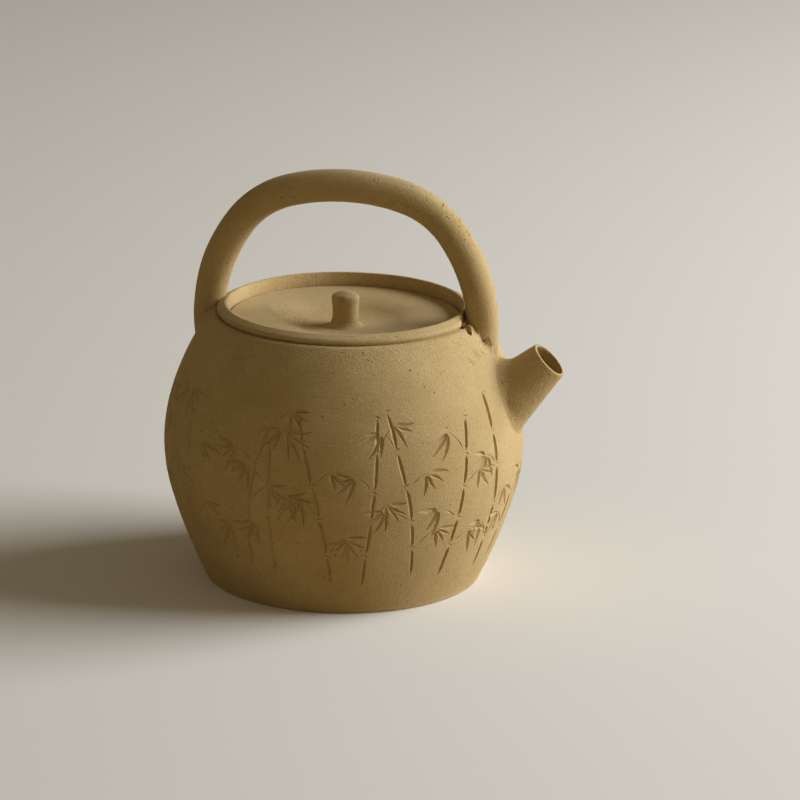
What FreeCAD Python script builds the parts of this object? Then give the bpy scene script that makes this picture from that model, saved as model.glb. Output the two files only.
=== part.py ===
import FreeCAD, Part
import math
import os

# A loop-handled clay teapot, slab built and unglazed, in millimetres.
# The origin is the centre of the base on the table, +Z is up and the spout points along +X.

# Pot body, as seen in half section
BELLY_RADIUS = 59.1
BELLY_HEIGHT = 45.7
BELLY_ARC_RADIUS = 56.3
BELLY_ARC_BELOW_DEG = 15.0
BELLY_ARC_ABOVE_DEG = 14.0
BASE_INSET = 13.9
SHOULDER_INSET = 16.2
SHOULDER_TOP_HEIGHT = 88.9
SHOULDER_SEAM_HEIGHT = 66.0
WALL = 3.0

# Floor of the pot
BASE_THICKNESS = 3.5
BASE_EDGE_ROUND = 0.8
BASE_SEAM_FILLET = 3.0
BASE_SEAM_HOLLOW = 0.4

# Collar round the mouth
COLLAR_WIDTH = 4.3
RIM_LIP = 1.2
RIM_RISE = 2.6
BAND_FACE_HEIGHT = 0.7
BAND_ROUND = 0.5
COLLAR_GROOVE = 0.6

# Ledge inside the mouth
SEAT_WIDTH = 5.6
SEAT_THICKNESS = 2.5

# Lid
LID_GAP = 0.5
LID_SINK = 4.4
LID_THICKNESS = 3.0
LID_EDGE_ROUND = 0.6
LID_RIM_WIDTH = 9.1
LID_DISH_DEPTH = 3.4
LID_DISH_THICKNESS = 2.6
LID_DISH_FLAT = 7.0
FLANGE_GAP = 0.6
FLANGE_WIDTH = 2.5
FLANGE_HEIGHT = 3.0
VENT_DIAMETER = 1.6
VENT_FROM_KNOB = 3.0

# Knob
KNOB_FOOT_RADIUS = 4.6
KNOB_WAIST_RADIUS = 4.3
KNOB_TOP_RADIUS = 4.5
KNOB_HEIGHT = 11.6
KNOB_WAIST_HEIGHT = 4.6
KNOB_EDGE_ROUND = 1.9
KNOB_CROWN = 0.7
KNOB_LUTE_FILLET = 2.0

# Spout, along an axis that leaves the body at a drop below the top of the shoulder
SPOUT_ANGLE_DEG = 45.0
SPOUT_DROP = 24.0
SPOUT_LENGTH = 17.2
SPOUT_MOUTH_RADIUS = 6.7
SPOUT_ROOT_RADIUS = 9.6
SPOUT_LIP = 1.2
SPOUT_ROOT_WALL = 2.2
SPOUT_LUTE_WIDTH = 2.4
SPOUT_LUTE_RISE = 4.0

# Strainer dome behind the spout
STRAINER_LEDGE = 0.6
STRAINER_THICKNESS = 1.5
STRAINER_HOLE_DIAMETER = 2.0
STRAINER_RING_HOLES = (1, 6, 12)
STRAINER_RING_STEP_DEG = 25.0

# Handle, a round coil bent to a basket arch over the lid
# Its flat top arc is wider than half the span of the legs, and its tight shoulder arc is narrower
HANDLE_ROD_RADIUS = 5.25
HANDLE_RISE = 39.2
HANDLE_TOP_ARC_EXCESS = 22.8
HANDLE_TOP_ARC_DEG = 16.0
HANDLE_SHOULDER_ARC_CUT = 15.0
HANDLE_SHOULDER_ARC_DEG = 52.5
HANDLE_RIM_CLEARANCE = 0.65
HANDLE_ROOT_TURN_DEG = 15.0
HANDLE_NOTCH_GAP = 0.5
HANDLE_LUTE_WIDTH = 1.6
HANDLE_LUTE_RISE = 3.0

# Luting clay: how far up its flank the hollow lies, and the share of its width that is left there
LUTE_HOLLOW_RISE = 0.3
LUTE_HOLLOW_WIDTH = 0.35

# Film of slip between curved faces that are luted together
SLIP = 0.08

# Heights and radii that follow from the sizes above
BASE_RADIUS = BELLY_RADIUS - BASE_INSET
SHOULDER_TOP_RADIUS = BELLY_RADIUS - SHOULDER_INSET
NECK_RADIUS = SHOULDER_TOP_RADIUS - COLLAR_WIDTH
RIM_HEIGHT = SHOULDER_TOP_HEIGHT + RIM_RISE
RIM_RADIUS = NECK_RADIUS + RIM_LIP
BAND_RADIUS = SHOULDER_TOP_RADIUS
LID_RADIUS = NECK_RADIUS - LID_GAP
LID_DISH_RADIUS = LID_RADIUS - LID_RIM_WIDTH
LID_TOP = RIM_HEIGHT - LID_SINK
SEAT_TOP = LID_TOP - LID_THICKNESS
SEAT_RADIUS = NECK_RADIUS - SEAT_WIDTH
DISH_TOP = LID_TOP - LID_DISH_DEPTH
SPOUT_ROOT_HEIGHT = SHOULDER_TOP_HEIGHT - SPOUT_DROP
HANDLE_HALF_SPAN = RIM_RADIUS + HANDLE_RIM_CLEARANCE + HANDLE_ROD_RADIUS
HANDLE_TOP_ARC_RADIUS = HANDLE_HALF_SPAN + HANDLE_TOP_ARC_EXCESS
HANDLE_SHOULDER_ARC_RADIUS = HANDLE_HALF_SPAN - HANDLE_SHOULDER_ARC_CUT

ORIGIN = FreeCAD.Vector(0, 0, 0)
UP = FreeCAD.Vector(0, 0, 1)


def point(radius, height):
    """A point of a half section, in the XZ plane."""
    return FreeCAD.Vector(radius, 0, height)


def direction(angle_deg):
    """The unit vector in the XZ plane at an angle above +X."""
    angle = math.radians(angle_deg)
    return FreeCAD.Vector(math.cos(angle), 0, math.sin(angle))


def lines(*points):
    """Straight edges through the points in order."""
    return [Part.makeLine(a, b) for a, b in zip(points, points[1:])]


def arc(centre, radius, start_deg, end_deg):
    """The edge of a circle in the XZ plane between two angles."""
    stops = (start_deg, (start_deg + end_deg) / 2, end_deg)
    return Part.Arc(*[centre + direction(stop) * radius for stop in stops]).toShape()


def revolve(edges):
    """The solid that a closed half section makes round the Z axis."""
    return Part.Face(Part.Wire(edges)).revolve(ORIGIN, UP, 360)


def stand_on(shape, place, axis):
    """The shape with its origin moved to a place and its Z axis turned to another axis."""
    moved = shape.copy()
    moved.Placement = FreeCAD.Placement(place, FreeCAD.Rotation(UP, axis))
    return moved


def tangent_arc(start, normal, end):
    """Centre and radius of the arc that leaves start square to normal and passes through end."""
    chord = end - start
    radius = -chord.dot(chord) / (2 * chord.dot(normal))
    return start - normal * radius, radius


def body_arcs():
    """The three tangent arcs of the outer face, bottom to top, each as centre, radius and last angle."""
    belly_centre = point(BELLY_RADIUS - BELLY_ARC_RADIUS, BELLY_HEIGHT)
    low = direction(-BELLY_ARC_BELOW_DEG)
    high = direction(BELLY_ARC_ABOVE_DEG)
    foot = point(BASE_RADIUS, 0)
    top = point(SHOULDER_TOP_RADIUS, SHOULDER_TOP_HEIGHT)
    flank_centre, flank_radius = tangent_arc(belly_centre + low * BELLY_ARC_RADIUS, low, foot)
    dome_centre, dome_radius = tangent_arc(belly_centre + high * BELLY_ARC_RADIUS, high, top)
    return (
        (flank_centre, flank_radius, -BELLY_ARC_BELOW_DEG),
        (belly_centre, BELLY_ARC_RADIUS, BELLY_ARC_ABOVE_DEG),
        (dome_centre, dome_radius, 90.0),
    )


BODY_ARCS = body_arcs()


def face_angle(centre, radius, height):
    """The angle at which an arc of the body passes a height."""
    return math.degrees(math.asin((height - centre.z) / radius))


def body_face(inset, low, high):
    """The body's face between two heights, moved in by inset, as edges from the bottom to the top."""
    edges = []
    bottom = low
    for centre, outer_radius, last_deg in BODY_ARCS:
        radius = outer_radius - inset
        arc_top = centre.z + radius * math.sin(math.radians(last_deg))
        if arc_top <= bottom:
            continue
        top = min(high, arc_top)
        edges.append(arc(centre, radius, face_angle(centre, radius, bottom), face_angle(centre, radius, top)))
        bottom = top
        if bottom >= high:
            break
    return edges


def body_point(height, inset):
    """The place and outward normal of the body's face at a height on the +X side, moved in by inset."""
    for centre, outer_radius, last_deg in BODY_ARCS:
        radius = outer_radius - inset
        if height <= centre.z + radius * math.sin(math.radians(last_deg)):
            normal = direction(face_angle(centre, radius, height))
            return centre + normal * radius, normal


def body_radius(height, inset):
    """The radius of the body's face at a height, moved in by inset."""
    return body_point(height, inset)[0].x


def body_fill(inset, low, high):
    """The whole space inside the body's face between two heights."""
    face = body_face(inset, low, high)
    first = point(body_radius(low, inset), low)
    last = point(body_radius(high, inset), high)
    return revolve(lines(point(0, high), point(0, low), first) + face + lines(last, point(0, high)))


def body_ring(low, high):
    """One course of the pot's wall between two flat seams."""
    outer = body_face(0, low, high)
    inner = body_face(WALL, low, high)
    sole = lines(point(body_radius(low, WALL), low), point(body_radius(low, 0), low))
    head = lines(point(body_radius(high, 0), high), point(body_radius(high, WALL), high))
    return revolve(sole + outer + head + inner[::-1])


def base_disc():
    """The flat floor, with a rounded edge where it meets the table."""
    ring_outer = body_radius(BASE_EDGE_ROUND, 0) - BASE_EDGE_ROUND
    edges = lines(point(0, BASE_THICKNESS), point(0, 0), point(ring_outer, 0))
    edges += [arc(point(ring_outer, BASE_EDGE_ROUND), BASE_EDGE_ROUND, -90, 0)]
    edges += body_face(0, BASE_EDGE_ROUND, BASE_THICKNESS)
    edges += lines(point(body_radius(BASE_THICKNESS, 0), BASE_THICKNESS), point(0, BASE_THICKNESS))
    return revolve(edges)


def base_seam_lute():
    """The roll of clay smoothed into the corner between floor and wall."""
    top = BASE_THICKNESS + BASE_SEAM_FILLET
    inset = WALL + SLIP
    corner = body_radius(BASE_THICKNESS, inset)
    high = point(body_radius(top, inset), top)
    low = point(corner - BASE_SEAM_FILLET, BASE_THICKNESS)
    chord_middle = (low + high) / 2
    middle = chord_middle + (point(corner, BASE_THICKNESS) - chord_middle) * BASE_SEAM_HOLLOW
    hollow = Part.Arc(high, middle, low).toShape()
    sole = lines(low, point(corner, BASE_THICKNESS))
    return revolve(sole + body_face(inset, BASE_THICKNESS, top) + [hollow])


def mouth_collar():
    """The neck ring: a wedge inside the shoulder and a bevelled band with a thin rim above it."""
    inset = WALL + SLIP
    wedge_foot = point(body_radius(SEAT_TOP, inset), SEAT_TOP)
    wedge_top = point(body_radius(SHOULDER_TOP_HEIGHT, inset), SHOULDER_TOP_HEIGHT)
    band_foot = point(BAND_RADIUS - COLLAR_GROOVE, SHOULDER_TOP_HEIGHT)
    band_low = SHOULDER_TOP_HEIGHT + BAND_FACE_HEIGHT
    edges = lines(point(NECK_RADIUS, RIM_HEIGHT), point(NECK_RADIUS, SEAT_TOP), wedge_foot)
    edges += body_face(inset, SEAT_TOP, SHOULDER_TOP_HEIGHT)
    edges += lines(
        wedge_top,
        band_foot,
        point(BAND_RADIUS - BAND_ROUND / 2, band_low - BAND_ROUND),
        point(BAND_RADIUS, band_low),
        point(BAND_RADIUS - BAND_ROUND, band_low + BAND_ROUND),
        point(RIM_RADIUS, RIM_HEIGHT),
        point(NECK_RADIUS, RIM_HEIGHT),
    )
    return revolve(edges)


def lid_seat_ring():
    """The ledge inside the mouth, with its edge against the shoulder's inner face."""
    inset = WALL + SLIP
    under = SEAT_TOP - SEAT_THICKNESS
    low = point(body_radius(under, inset), under)
    high = point(body_radius(SEAT_TOP, inset), SEAT_TOP)
    inner_low = point(SEAT_RADIUS, under)
    inner_high = point(SEAT_RADIUS, SEAT_TOP)
    sides = lines(high, inner_high, inner_low)
    return revolve(lines(inner_low, low) + body_face(inset, under, SEAT_TOP) + sides)


def dish_curve(rim_radius, flat_radius, rim_height, flat_height):
    """Two equal arcs that lead from a flat rim down to a flat middle."""
    run = rim_radius - flat_radius
    drop = rim_height - flat_height
    turn = 2 * math.degrees(math.atan2(drop, run))
    radius = run / (2 * math.sin(math.radians(turn)))
    crest = arc(point(rim_radius, rim_height - radius), radius, 90, 90 + turn)
    hollow = arc(point(flat_radius, flat_height + radius), radius, 270 + turn, 270)
    return [crest, hollow]


def lid_disc():
    """The lid plate: a flat rim round a dished middle, with a vent hole behind the knob."""
    dish_under = DISH_TOP - LID_DISH_THICKNESS
    edge_centre = point(LID_RADIUS - LID_EDGE_ROUND, LID_TOP - LID_EDGE_ROUND)
    under_radius = SEAT_RADIUS - FLANGE_GAP - FLANGE_WIDTH
    edges = lines(point(0, dish_under), point(0, DISH_TOP), point(LID_DISH_FLAT, DISH_TOP))
    edges += dish_curve(LID_DISH_RADIUS, LID_DISH_FLAT, LID_TOP, DISH_TOP)[::-1]
    edges += lines(point(LID_DISH_RADIUS, LID_TOP), point(LID_RADIUS - LID_EDGE_ROUND, LID_TOP))
    edges += [arc(edge_centre, LID_EDGE_ROUND, 90, 0)]
    edges += lines(
        point(LID_RADIUS, LID_TOP - LID_EDGE_ROUND),
        point(LID_RADIUS, SEAT_TOP),
        point(under_radius, SEAT_TOP),
    )
    edges += dish_curve(under_radius, LID_DISH_FLAT, SEAT_TOP, dish_under)
    edges += lines(point(LID_DISH_FLAT, dish_under), point(0, dish_under))
    vent_place = FreeCAD.Vector(0, KNOB_FOOT_RADIUS + KNOB_LUTE_FILLET + VENT_FROM_KNOB, 0)
    vent = Part.makeCylinder(VENT_DIAMETER / 2, RIM_HEIGHT, vent_place)
    return revolve(edges).cut(vent)


def lid_flange():
    """The ring under the lid that keeps it centred in the ledge."""
    outer = SEAT_RADIUS - FLANGE_GAP
    inner = outer - FLANGE_WIDTH
    under = SEAT_TOP - FLANGE_HEIGHT
    corners = (point(inner, under), point(outer, under), point(outer, SEAT_TOP), point(inner, SEAT_TOP))
    return revolve(lines(*corners, corners[0]))


def lid_knob():
    """The knob: a waisted post with a rounded, slightly crowned top."""
    foot = point(KNOB_FOOT_RADIUS, DISH_TOP)
    waist = point(KNOB_WAIST_RADIUS, DISH_TOP + KNOB_WAIST_HEIGHT)
    top = DISH_TOP + KNOB_HEIGHT
    round_centre = point(KNOB_TOP_RADIUS - KNOB_EDGE_ROUND, top - KNOB_CROWN - KNOB_EDGE_ROUND)
    shank_end = round_centre + point(KNOB_EDGE_ROUND, 0)
    crown_start = round_centre + point(0, KNOB_EDGE_ROUND)
    crown_radius = (crown_start.x ** 2 + KNOB_CROWN ** 2) / (2 * KNOB_CROWN)
    crown_angle = math.degrees(math.acos(crown_start.x / crown_radius))
    edges = lines(point(0, top), point(0, DISH_TOP), foot)
    edges += [Part.Arc(foot, waist, shank_end).toShape()]
    edges += [arc(round_centre, KNOB_EDGE_ROUND, 0, 90)]
    edges += [arc(point(0, top - crown_radius), crown_radius, crown_angle, 90)]
    return revolve(edges)


def knob_lute(knob):
    """The flared fillet of clay at the foot of the knob."""
    outer = KNOB_FOOT_RADIUS + KNOB_LUTE_FILLET
    top = DISH_TOP + KNOB_LUTE_FILLET
    hollow = arc(point(outer, top), KNOB_LUTE_FILLET, 180, 270)
    edges = lines(point(0, top), point(0, DISH_TOP), point(outer, DISH_TOP))
    edges += [hollow]
    edges += lines(point(KNOB_FOOT_RADIUS, top), point(0, top))
    bore = Part.makeCylinder(KNOB_FOOT_RADIUS + SLIP, KNOB_HEIGHT, point(0, DISH_TOP))
    return revolve(edges).cut(bore).cut(knob)


SPOUT_ROOT, SPOUT_ROOT_NORMAL = body_point(SPOUT_ROOT_HEIGHT, 0)
SPOUT_AXIS = direction(SPOUT_ANGLE_DEG)
SPOUT_ROOT_BORE = SPOUT_ROOT_RADIUS - SPOUT_ROOT_WALL
SPOUT_MEETS_WALL = SPOUT_AXIS.dot(SPOUT_ROOT_NORMAL)
# Length of cone behind the root, long enough to be trimmed all round by the body's face
SPOUT_TAIL = 2 * SPOUT_ROOT_RADIUS


def spout_cone(root_radius, mouth_radius, behind, beyond):
    """A cone on the spout's axis that runs on past the root and the mouth by the given lengths."""
    slope = (root_radius - mouth_radius) / SPOUT_LENGTH
    length = behind + SPOUT_LENGTH + beyond
    cone = Part.makeCone(root_radius + slope * behind, mouth_radius - slope * beyond, length)
    return stand_on(cone, SPOUT_ROOT - SPOUT_AXIS * behind, SPOUT_AXIS)


def spout_bore():
    """The passage of the spout, with a straight hole on through the wall."""
    reach = SPOUT_ROOT_BORE + 3 * WALL
    hole = Part.makeCylinder(SPOUT_ROOT_BORE, reach)
    passage = spout_cone(SPOUT_ROOT_BORE, SPOUT_MOUTH_RADIUS - SPOUT_LIP, 0, SPOUT_LIP)
    return passage.fuse(stand_on(hole, SPOUT_ROOT - SPOUT_AXIS * reach, SPOUT_AXIS))


def root_ellipse(centre, normal, slant, radius):
    """The outline of a round rod of a radius where a plane cuts it at a slant."""
    across = FreeCAD.Vector(0, 1, 0)
    along = across.cross(normal)
    ellipse = Part.Ellipse(centre + along * (radius / slant), centre + across * radius, centre)
    return Part.Wire(ellipse.toShape())


def luting_clay(place, normal, axis, radius, width, rise):
    """A hollow-flanked mound of clay round the root of a rod that leaves the body along an axis."""
    slant = axis.dot(normal)
    depth = ((radius + width) / slant) ** 2 / (2 * BELLY_ARC_RADIUS)
    waist = radius + width * LUTE_HOLLOW_WIDTH
    outlines = [
        root_ellipse(place - axis * (depth / slant), normal, slant, radius + width),
        root_ellipse(place + axis * (rise * LUTE_HOLLOW_RISE / slant), normal, slant, waist),
        root_ellipse(place + axis * (rise / slant), normal, slant, radius),
    ]
    return Part.makeLoft(outlines, True, False)


def spout_mound(grow):
    """The clay pressed round the spout's root, before the spout and body are taken out of it."""
    width = SPOUT_LUTE_WIDTH + grow
    return luting_clay(SPOUT_ROOT, SPOUT_ROOT_NORMAL, SPOUT_AXIS, SPOUT_ROOT_RADIUS, width, SPOUT_LUTE_RISE)


def spout_strainer(chamber):
    """The pierced dome that covers the spout's hole inside the pot."""
    inner_point = body_point(SPOUT_ROOT_HEIGHT, WALL)[0]
    step = (inner_point - SPOUT_ROOT).dot(SPOUT_ROOT_NORMAL) / SPOUT_MEETS_WALL
    centre = SPOUT_ROOT + SPOUT_AXIS * step
    inner = SPOUT_ROOT_BORE / SPOUT_MEETS_WALL + STRAINER_LEDGE
    outer = inner + STRAINER_THICKNESS
    dome = Part.makeSphere(outer, centre).cut(Part.makeSphere(inner, centre)).common(chamber)
    inward = FreeCAD.Rotation(UP, SPOUT_AXIS * -1)
    holes = []
    for ring, count in enumerate(STRAINER_RING_HOLES):
        tilt = FreeCAD.Rotation(FreeCAD.Vector(0, 1, 0), ring * STRAINER_RING_STEP_DEG)
        for index in range(count):
            turn = FreeCAD.Rotation(UP, 360.0 * index / count)
            way = inward.multVec(turn.multVec(tilt.multVec(UP)))
            start = centre + way * (inner - STRAINER_THICKNESS)
            holes.append(Part.makeCylinder(STRAINER_HOLE_DIAMETER / 2, 3 * STRAINER_THICKNESS, start, way))
    return dome.cut(holes)


def handle_arcs():
    """The arcs of the arch from its top to one root, each as centre, radius and angles from the top."""
    top_deg = HANDLE_TOP_ARC_DEG
    side_deg = HANDLE_SHOULDER_ARC_DEG
    apex = RIM_HEIGHT + HANDLE_RISE
    sin_top = math.sin(math.radians(top_deg))
    sin_side = math.sin(math.radians(side_deg))
    reach = HANDLE_TOP_ARC_RADIUS * sin_top + HANDLE_SHOULDER_ARC_RADIUS * (sin_side - sin_top)
    leg_radius = (HANDLE_HALF_SPAN - reach) / (1 - sin_side)
    top_centre = point(0, apex - HANDLE_TOP_ARC_RADIUS)
    side_centre = top_centre + direction(90 - top_deg) * (HANDLE_TOP_ARC_RADIUS - HANDLE_SHOULDER_ARC_RADIUS)
    leg_centre = side_centre + direction(90 - side_deg) * (HANDLE_SHOULDER_ARC_RADIUS - leg_radius)
    return (
        (top_centre, HANDLE_TOP_ARC_RADIUS, 0.0, top_deg),
        (side_centre, HANDLE_SHOULDER_ARC_RADIUS, top_deg, side_deg),
        (leg_centre, leg_radius, side_deg, 90.0 + HANDLE_ROOT_TURN_DEG),
    )


def handle_rod(radius):
    """The coil of the handle, with roots that run on inside the body."""
    front = handle_arcs()
    edges = []
    for centre, arc_radius, start, end in front[::-1]:
        mirrored = point(-centre.x, centre.z)
        edges.append(arc(mirrored, arc_radius, 90 + end, 90 + start))
    for centre, arc_radius, start, end in front:
        edges.append(arc(centre, arc_radius, 90 - start, 90 - end))
    path = Part.Wire(edges)
    root_centre, root_radius, _, root_end = front[-1]
    root = point(-root_centre.x, root_centre.z) + direction(90 + root_end) * root_radius
    section = Part.Wire(Part.makeCircle(radius, root, direction(root_end)))
    return path.makePipeShell([section], True, False)


def leg_foot():
    """The place where the leg's middle line enters the shoulder, and the shoulder's normal there."""
    low = SHOULDER_SEAM_HEIGHT
    high = SHOULDER_TOP_HEIGHT
    for _ in range(40):
        middle = (low + high) / 2
        if body_radius(middle, 0) > HANDLE_HALF_SPAN:
            low = middle
        else:
            high = middle
    return body_point(low, 0)


def handle_lute(rod, body, spout_clay):
    """The clay pressed round one handle root, clear of the rod, the body, the collar and the spout's clay."""
    place, normal = leg_foot()
    mound = luting_clay(place, normal, UP, HANDLE_ROD_RADIUS, HANDLE_LUTE_WIDTH, HANDLE_LUTE_RISE)
    collar_space = Part.makeCylinder(BAND_RADIUS + SLIP, HANDLE_RISE, point(0, SEAT_TOP))
    return mound.cut([rod, body, collar_space, spout_clay])


def half_turn(shape):
    """The shape turned half round the pot's axis."""
    turned = shape.copy()
    turned.rotate(ORIGIN, UP, 180)
    return turned


def build():
    """All the pieces, each under its own name."""
    body = body_fill(-SLIP, 0, SHOULDER_TOP_HEIGHT)
    chamber = body_fill(WALL + SLIP, BASE_THICKNESS, SEAT_TOP - SEAT_THICKNESS)
    bore = spout_bore()
    spout_solid = spout_cone(SPOUT_ROOT_RADIUS, SPOUT_MOUTH_RADIUS, SPOUT_TAIL, 0)
    spout_space = spout_cone(SPOUT_ROOT_RADIUS + SLIP, SPOUT_MOUTH_RADIUS + SLIP, SPOUT_TAIL, 0)
    rod = handle_rod(HANDLE_ROD_RADIUS)
    rod_space = handle_rod(HANDLE_ROD_RADIUS + SLIP)
    notch = handle_rod(HANDLE_ROD_RADIUS + HANDLE_NOTCH_GAP)
    front_lute = handle_lute(rod_space, body, spout_mound(SLIP))
    knob = lid_knob()
    return {
        "base_disc": base_disc(),
        "base_seam_lute": base_seam_lute(),
        "body_wall": body_ring(BASE_THICKNESS, SHOULDER_SEAM_HEIGHT).cut(bore),
        "shoulder_disc": body_ring(SHOULDER_SEAM_HEIGHT, SHOULDER_TOP_HEIGHT).cut(bore),
        "mouth_collar": mouth_collar().cut(notch),
        "lid_seat_ring": lid_seat_ring(),
        "spout": spout_solid.cut([body, bore]),
        "spout_lute": spout_mound(0).cut([body, spout_space, rod_space]),
        "spout_strainer": spout_strainer(chamber),
        "handle_bow": rod.cut(body),
        "front_handle_lute": front_lute,
        "rear_handle_lute": half_turn(front_lute),
        "lid_disc": lid_disc(),
        "lid_flange": lid_flange(),
        "lid_knob": knob,
        "knob_lute": knob_lute(knob),
    }


os.makedirs("parts", exist_ok=True)
for name, shape in build().items():
    solids = shape.Solids
    if len(solids) != 1 or not shape.isValid():
        print("check", name, len(solids), shape.isValid())
    print(name, round(shape.Volume, 1), "mm3")
    solids[0].exportStep("parts/" + name + ".step")
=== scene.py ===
"""Dresses a loop-handled clay teapot.

The pot is slab built and unglazed. Bamboo is cut into its belly with a knife, and the clay round its
roots is smeared by hand. Lengths are in metres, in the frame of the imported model.
"""

import logging
import math
import random
from collections.abc import Callable, Sequence
from dataclasses import dataclass, field, replace
from enum import Enum
from functools import cached_property

import bmesh
import bpy
from mathutils import Matrix, Vector, noise


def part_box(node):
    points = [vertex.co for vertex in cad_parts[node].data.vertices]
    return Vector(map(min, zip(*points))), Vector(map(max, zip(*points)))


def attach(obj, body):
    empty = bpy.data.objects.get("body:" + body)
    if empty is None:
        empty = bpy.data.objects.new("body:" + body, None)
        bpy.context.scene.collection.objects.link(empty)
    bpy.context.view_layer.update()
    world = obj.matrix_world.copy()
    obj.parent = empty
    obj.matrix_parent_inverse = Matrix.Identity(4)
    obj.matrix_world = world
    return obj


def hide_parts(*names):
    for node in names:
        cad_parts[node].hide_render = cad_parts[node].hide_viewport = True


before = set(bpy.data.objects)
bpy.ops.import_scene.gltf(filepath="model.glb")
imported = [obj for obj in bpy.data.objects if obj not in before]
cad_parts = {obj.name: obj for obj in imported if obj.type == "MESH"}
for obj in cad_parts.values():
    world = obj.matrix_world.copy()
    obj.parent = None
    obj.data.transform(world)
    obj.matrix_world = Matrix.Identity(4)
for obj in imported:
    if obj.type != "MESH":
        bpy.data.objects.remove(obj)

Colour = tuple[float, float, float, float]

LOG = logging.getLogger("teapot")
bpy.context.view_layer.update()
MM = 0.001
SEAM = 0.001 * MM
MERGE = 0.0005 * MM
THIN_WALL = 0.35 * MM
SHARP_DEG = 24.0
POT = "pot"
LID = "lid"


def section(radius: float, height: float) -> Vector:
    """A point of a half section, in the XZ plane."""
    return Vector((radius, 0.0, height))


def heading(degrees: float) -> Vector:
    """The unit vector in the XZ plane at an angle above +X."""
    angle = math.radians(degrees)
    return Vector((math.cos(angle), 0.0, math.sin(angle)))


def ease(value: float, low: float, high: float) -> float:
    """A smooth step from 0 at low to 1 at high, either way round."""
    share = min(1.0, max(0.0, (value - low) / (high - low)))
    return share * share * (3.0 - 2.0 * share)


def wave(place: Vector, length: float, seed: float) -> float:
    """A smooth noise between about -1 and 1 that repeats for each place, wave length and seed."""
    return noise.noise(place / length + Vector((seed, 1.7 * seed, -2.3 * seed)))


def spun(outline: Sequence[Vector], steps: int, closed: bool = False) -> bmesh.types.BMesh:
    """Spins a half section once round the Z axis.

    Args:
        outline: points in the XZ plane, in order.
        steps: copies in a full turn.
        closed: whether the last point joins the first.

    Returns:
        A bmesh with merged seam and poles and outward faces.
    """
    bm = bmesh.new()
    verts = [bm.verts.new(point) for point in outline]
    edges = [bm.edges.new(pair) for pair in zip(verts, verts[1:])]
    if closed:
        edges.append(bm.edges.new((verts[-1], verts[0])))
    bmesh.ops.spin(
        bm, geom=verts + edges, cent=(0, 0, 0), axis=(0, 0, 1), angle=math.tau, steps=steps, use_merge=True
    )
    bmesh.ops.remove_doubles(bm, verts=bm.verts, dist=SEAM)
    bmesh.ops.recalc_face_normals(bm, faces=bm.faces)
    return bm


def soften(bm: bmesh.types.BMesh, width: float, sharper_than_deg: float = 28.0) -> None:
    """Rounds every edge that is sharper than an angle.

    Args:
        bm: the mesh to change.
        width: how far each edge is rounded.
        sharper_than_deg: the least angle between two faces that is rounded.
    """
    limit = math.radians(sharper_than_deg)
    edges = [edge for edge in bm.edges if edge.is_manifold and edge.calc_face_angle() > limit]
    bmesh.ops.bevel(
        bm,
        geom=edges,
        offset=width,
        segments=2,
        profile=0.5,
        affect="EDGES",
        material=-1,
        clamp_overlap=True,
    )


def uneven(bm: bmesh.types.BMesh, length: float, depth: float, seed: float) -> None:
    """Moves a surface in and out along its normals, as hand work does.

    Args:
        bm: the mesh to change.
        length: wave length of the unevenness.
        depth: the most that a point moves.
        seed: chooses the pattern.
    """
    bm.normal_update()
    for vert in bm.verts:
        vert.co += vert.normal * (wave(vert.co, length, seed) * depth)


def points_in(geom: Sequence) -> list[bmesh.types.BMVert]:
    """The points among the things that an operator made."""
    return [item for item in geom if isinstance(item, bmesh.types.BMVert)]


def edges_in(geom: Sequence) -> list[bmesh.types.BMEdge]:
    """The edges among the things that an operator made."""
    return [item for item in geom if isinstance(item, bmesh.types.BMEdge)]


def drawn_out(
    bm: bmesh.types.BMesh, edges: list[bmesh.types.BMEdge]
) -> tuple[list[bmesh.types.BMVert], list[bmesh.types.BMEdge]]:
    """Draws a ring of edges out by one row, which stays in place until its points are moved.

    Args:
        bm: the mesh to change.
        edges: the ring.

    Returns:
        The new ring's points and edges.
    """
    geom = bmesh.ops.extrude_edge_only(bm, edges=edges)["geom"]
    verts = points_in(geom)
    fresh = set(verts)
    return verts, [edge for edge in edges_in(geom) if fresh.issuperset(edge.verts)]


def round_bar(radius: float, depth: float, segments: int, place: Matrix) -> bmesh.types.BMesh:
    """A closed round bar, its axis along Z before it is placed.

    Args:
        radius: the bar's radius.
        depth: its length.
        segments: how many sides stand for the round.
        place: where its middle goes.

    Returns:
        The bar's mesh.
    """
    bm = bmesh.new()
    bmesh.ops.create_cone(
        bm, cap_ends=True, segments=segments, radius1=radius, radius2=radius, depth=depth, matrix=place
    )
    return bm


def as_piece(name: str, bm: bmesh.types.BMesh) -> bpy.types.Object:
    """Makes an object at the origin from a bmesh, and frees the bmesh.

    Args:
        name: the object's name.
        bm: the mesh, which is used up.

    Returns:
        The new object.
    """
    mesh = bpy.data.meshes.new(name)
    bm.to_mesh(mesh)
    bm.free()
    piece = bpy.data.objects.new(name, mesh)
    bpy.context.scene.collection.objects.link(piece)
    return piece


def shade(piece: bpy.types.Object) -> None:
    """Shades a piece smooth except along its sharp edges."""
    piece.data.shade_smooth()
    piece.data.set_sharp_from_angle(angle=math.radians(SHARP_DEG))


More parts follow.
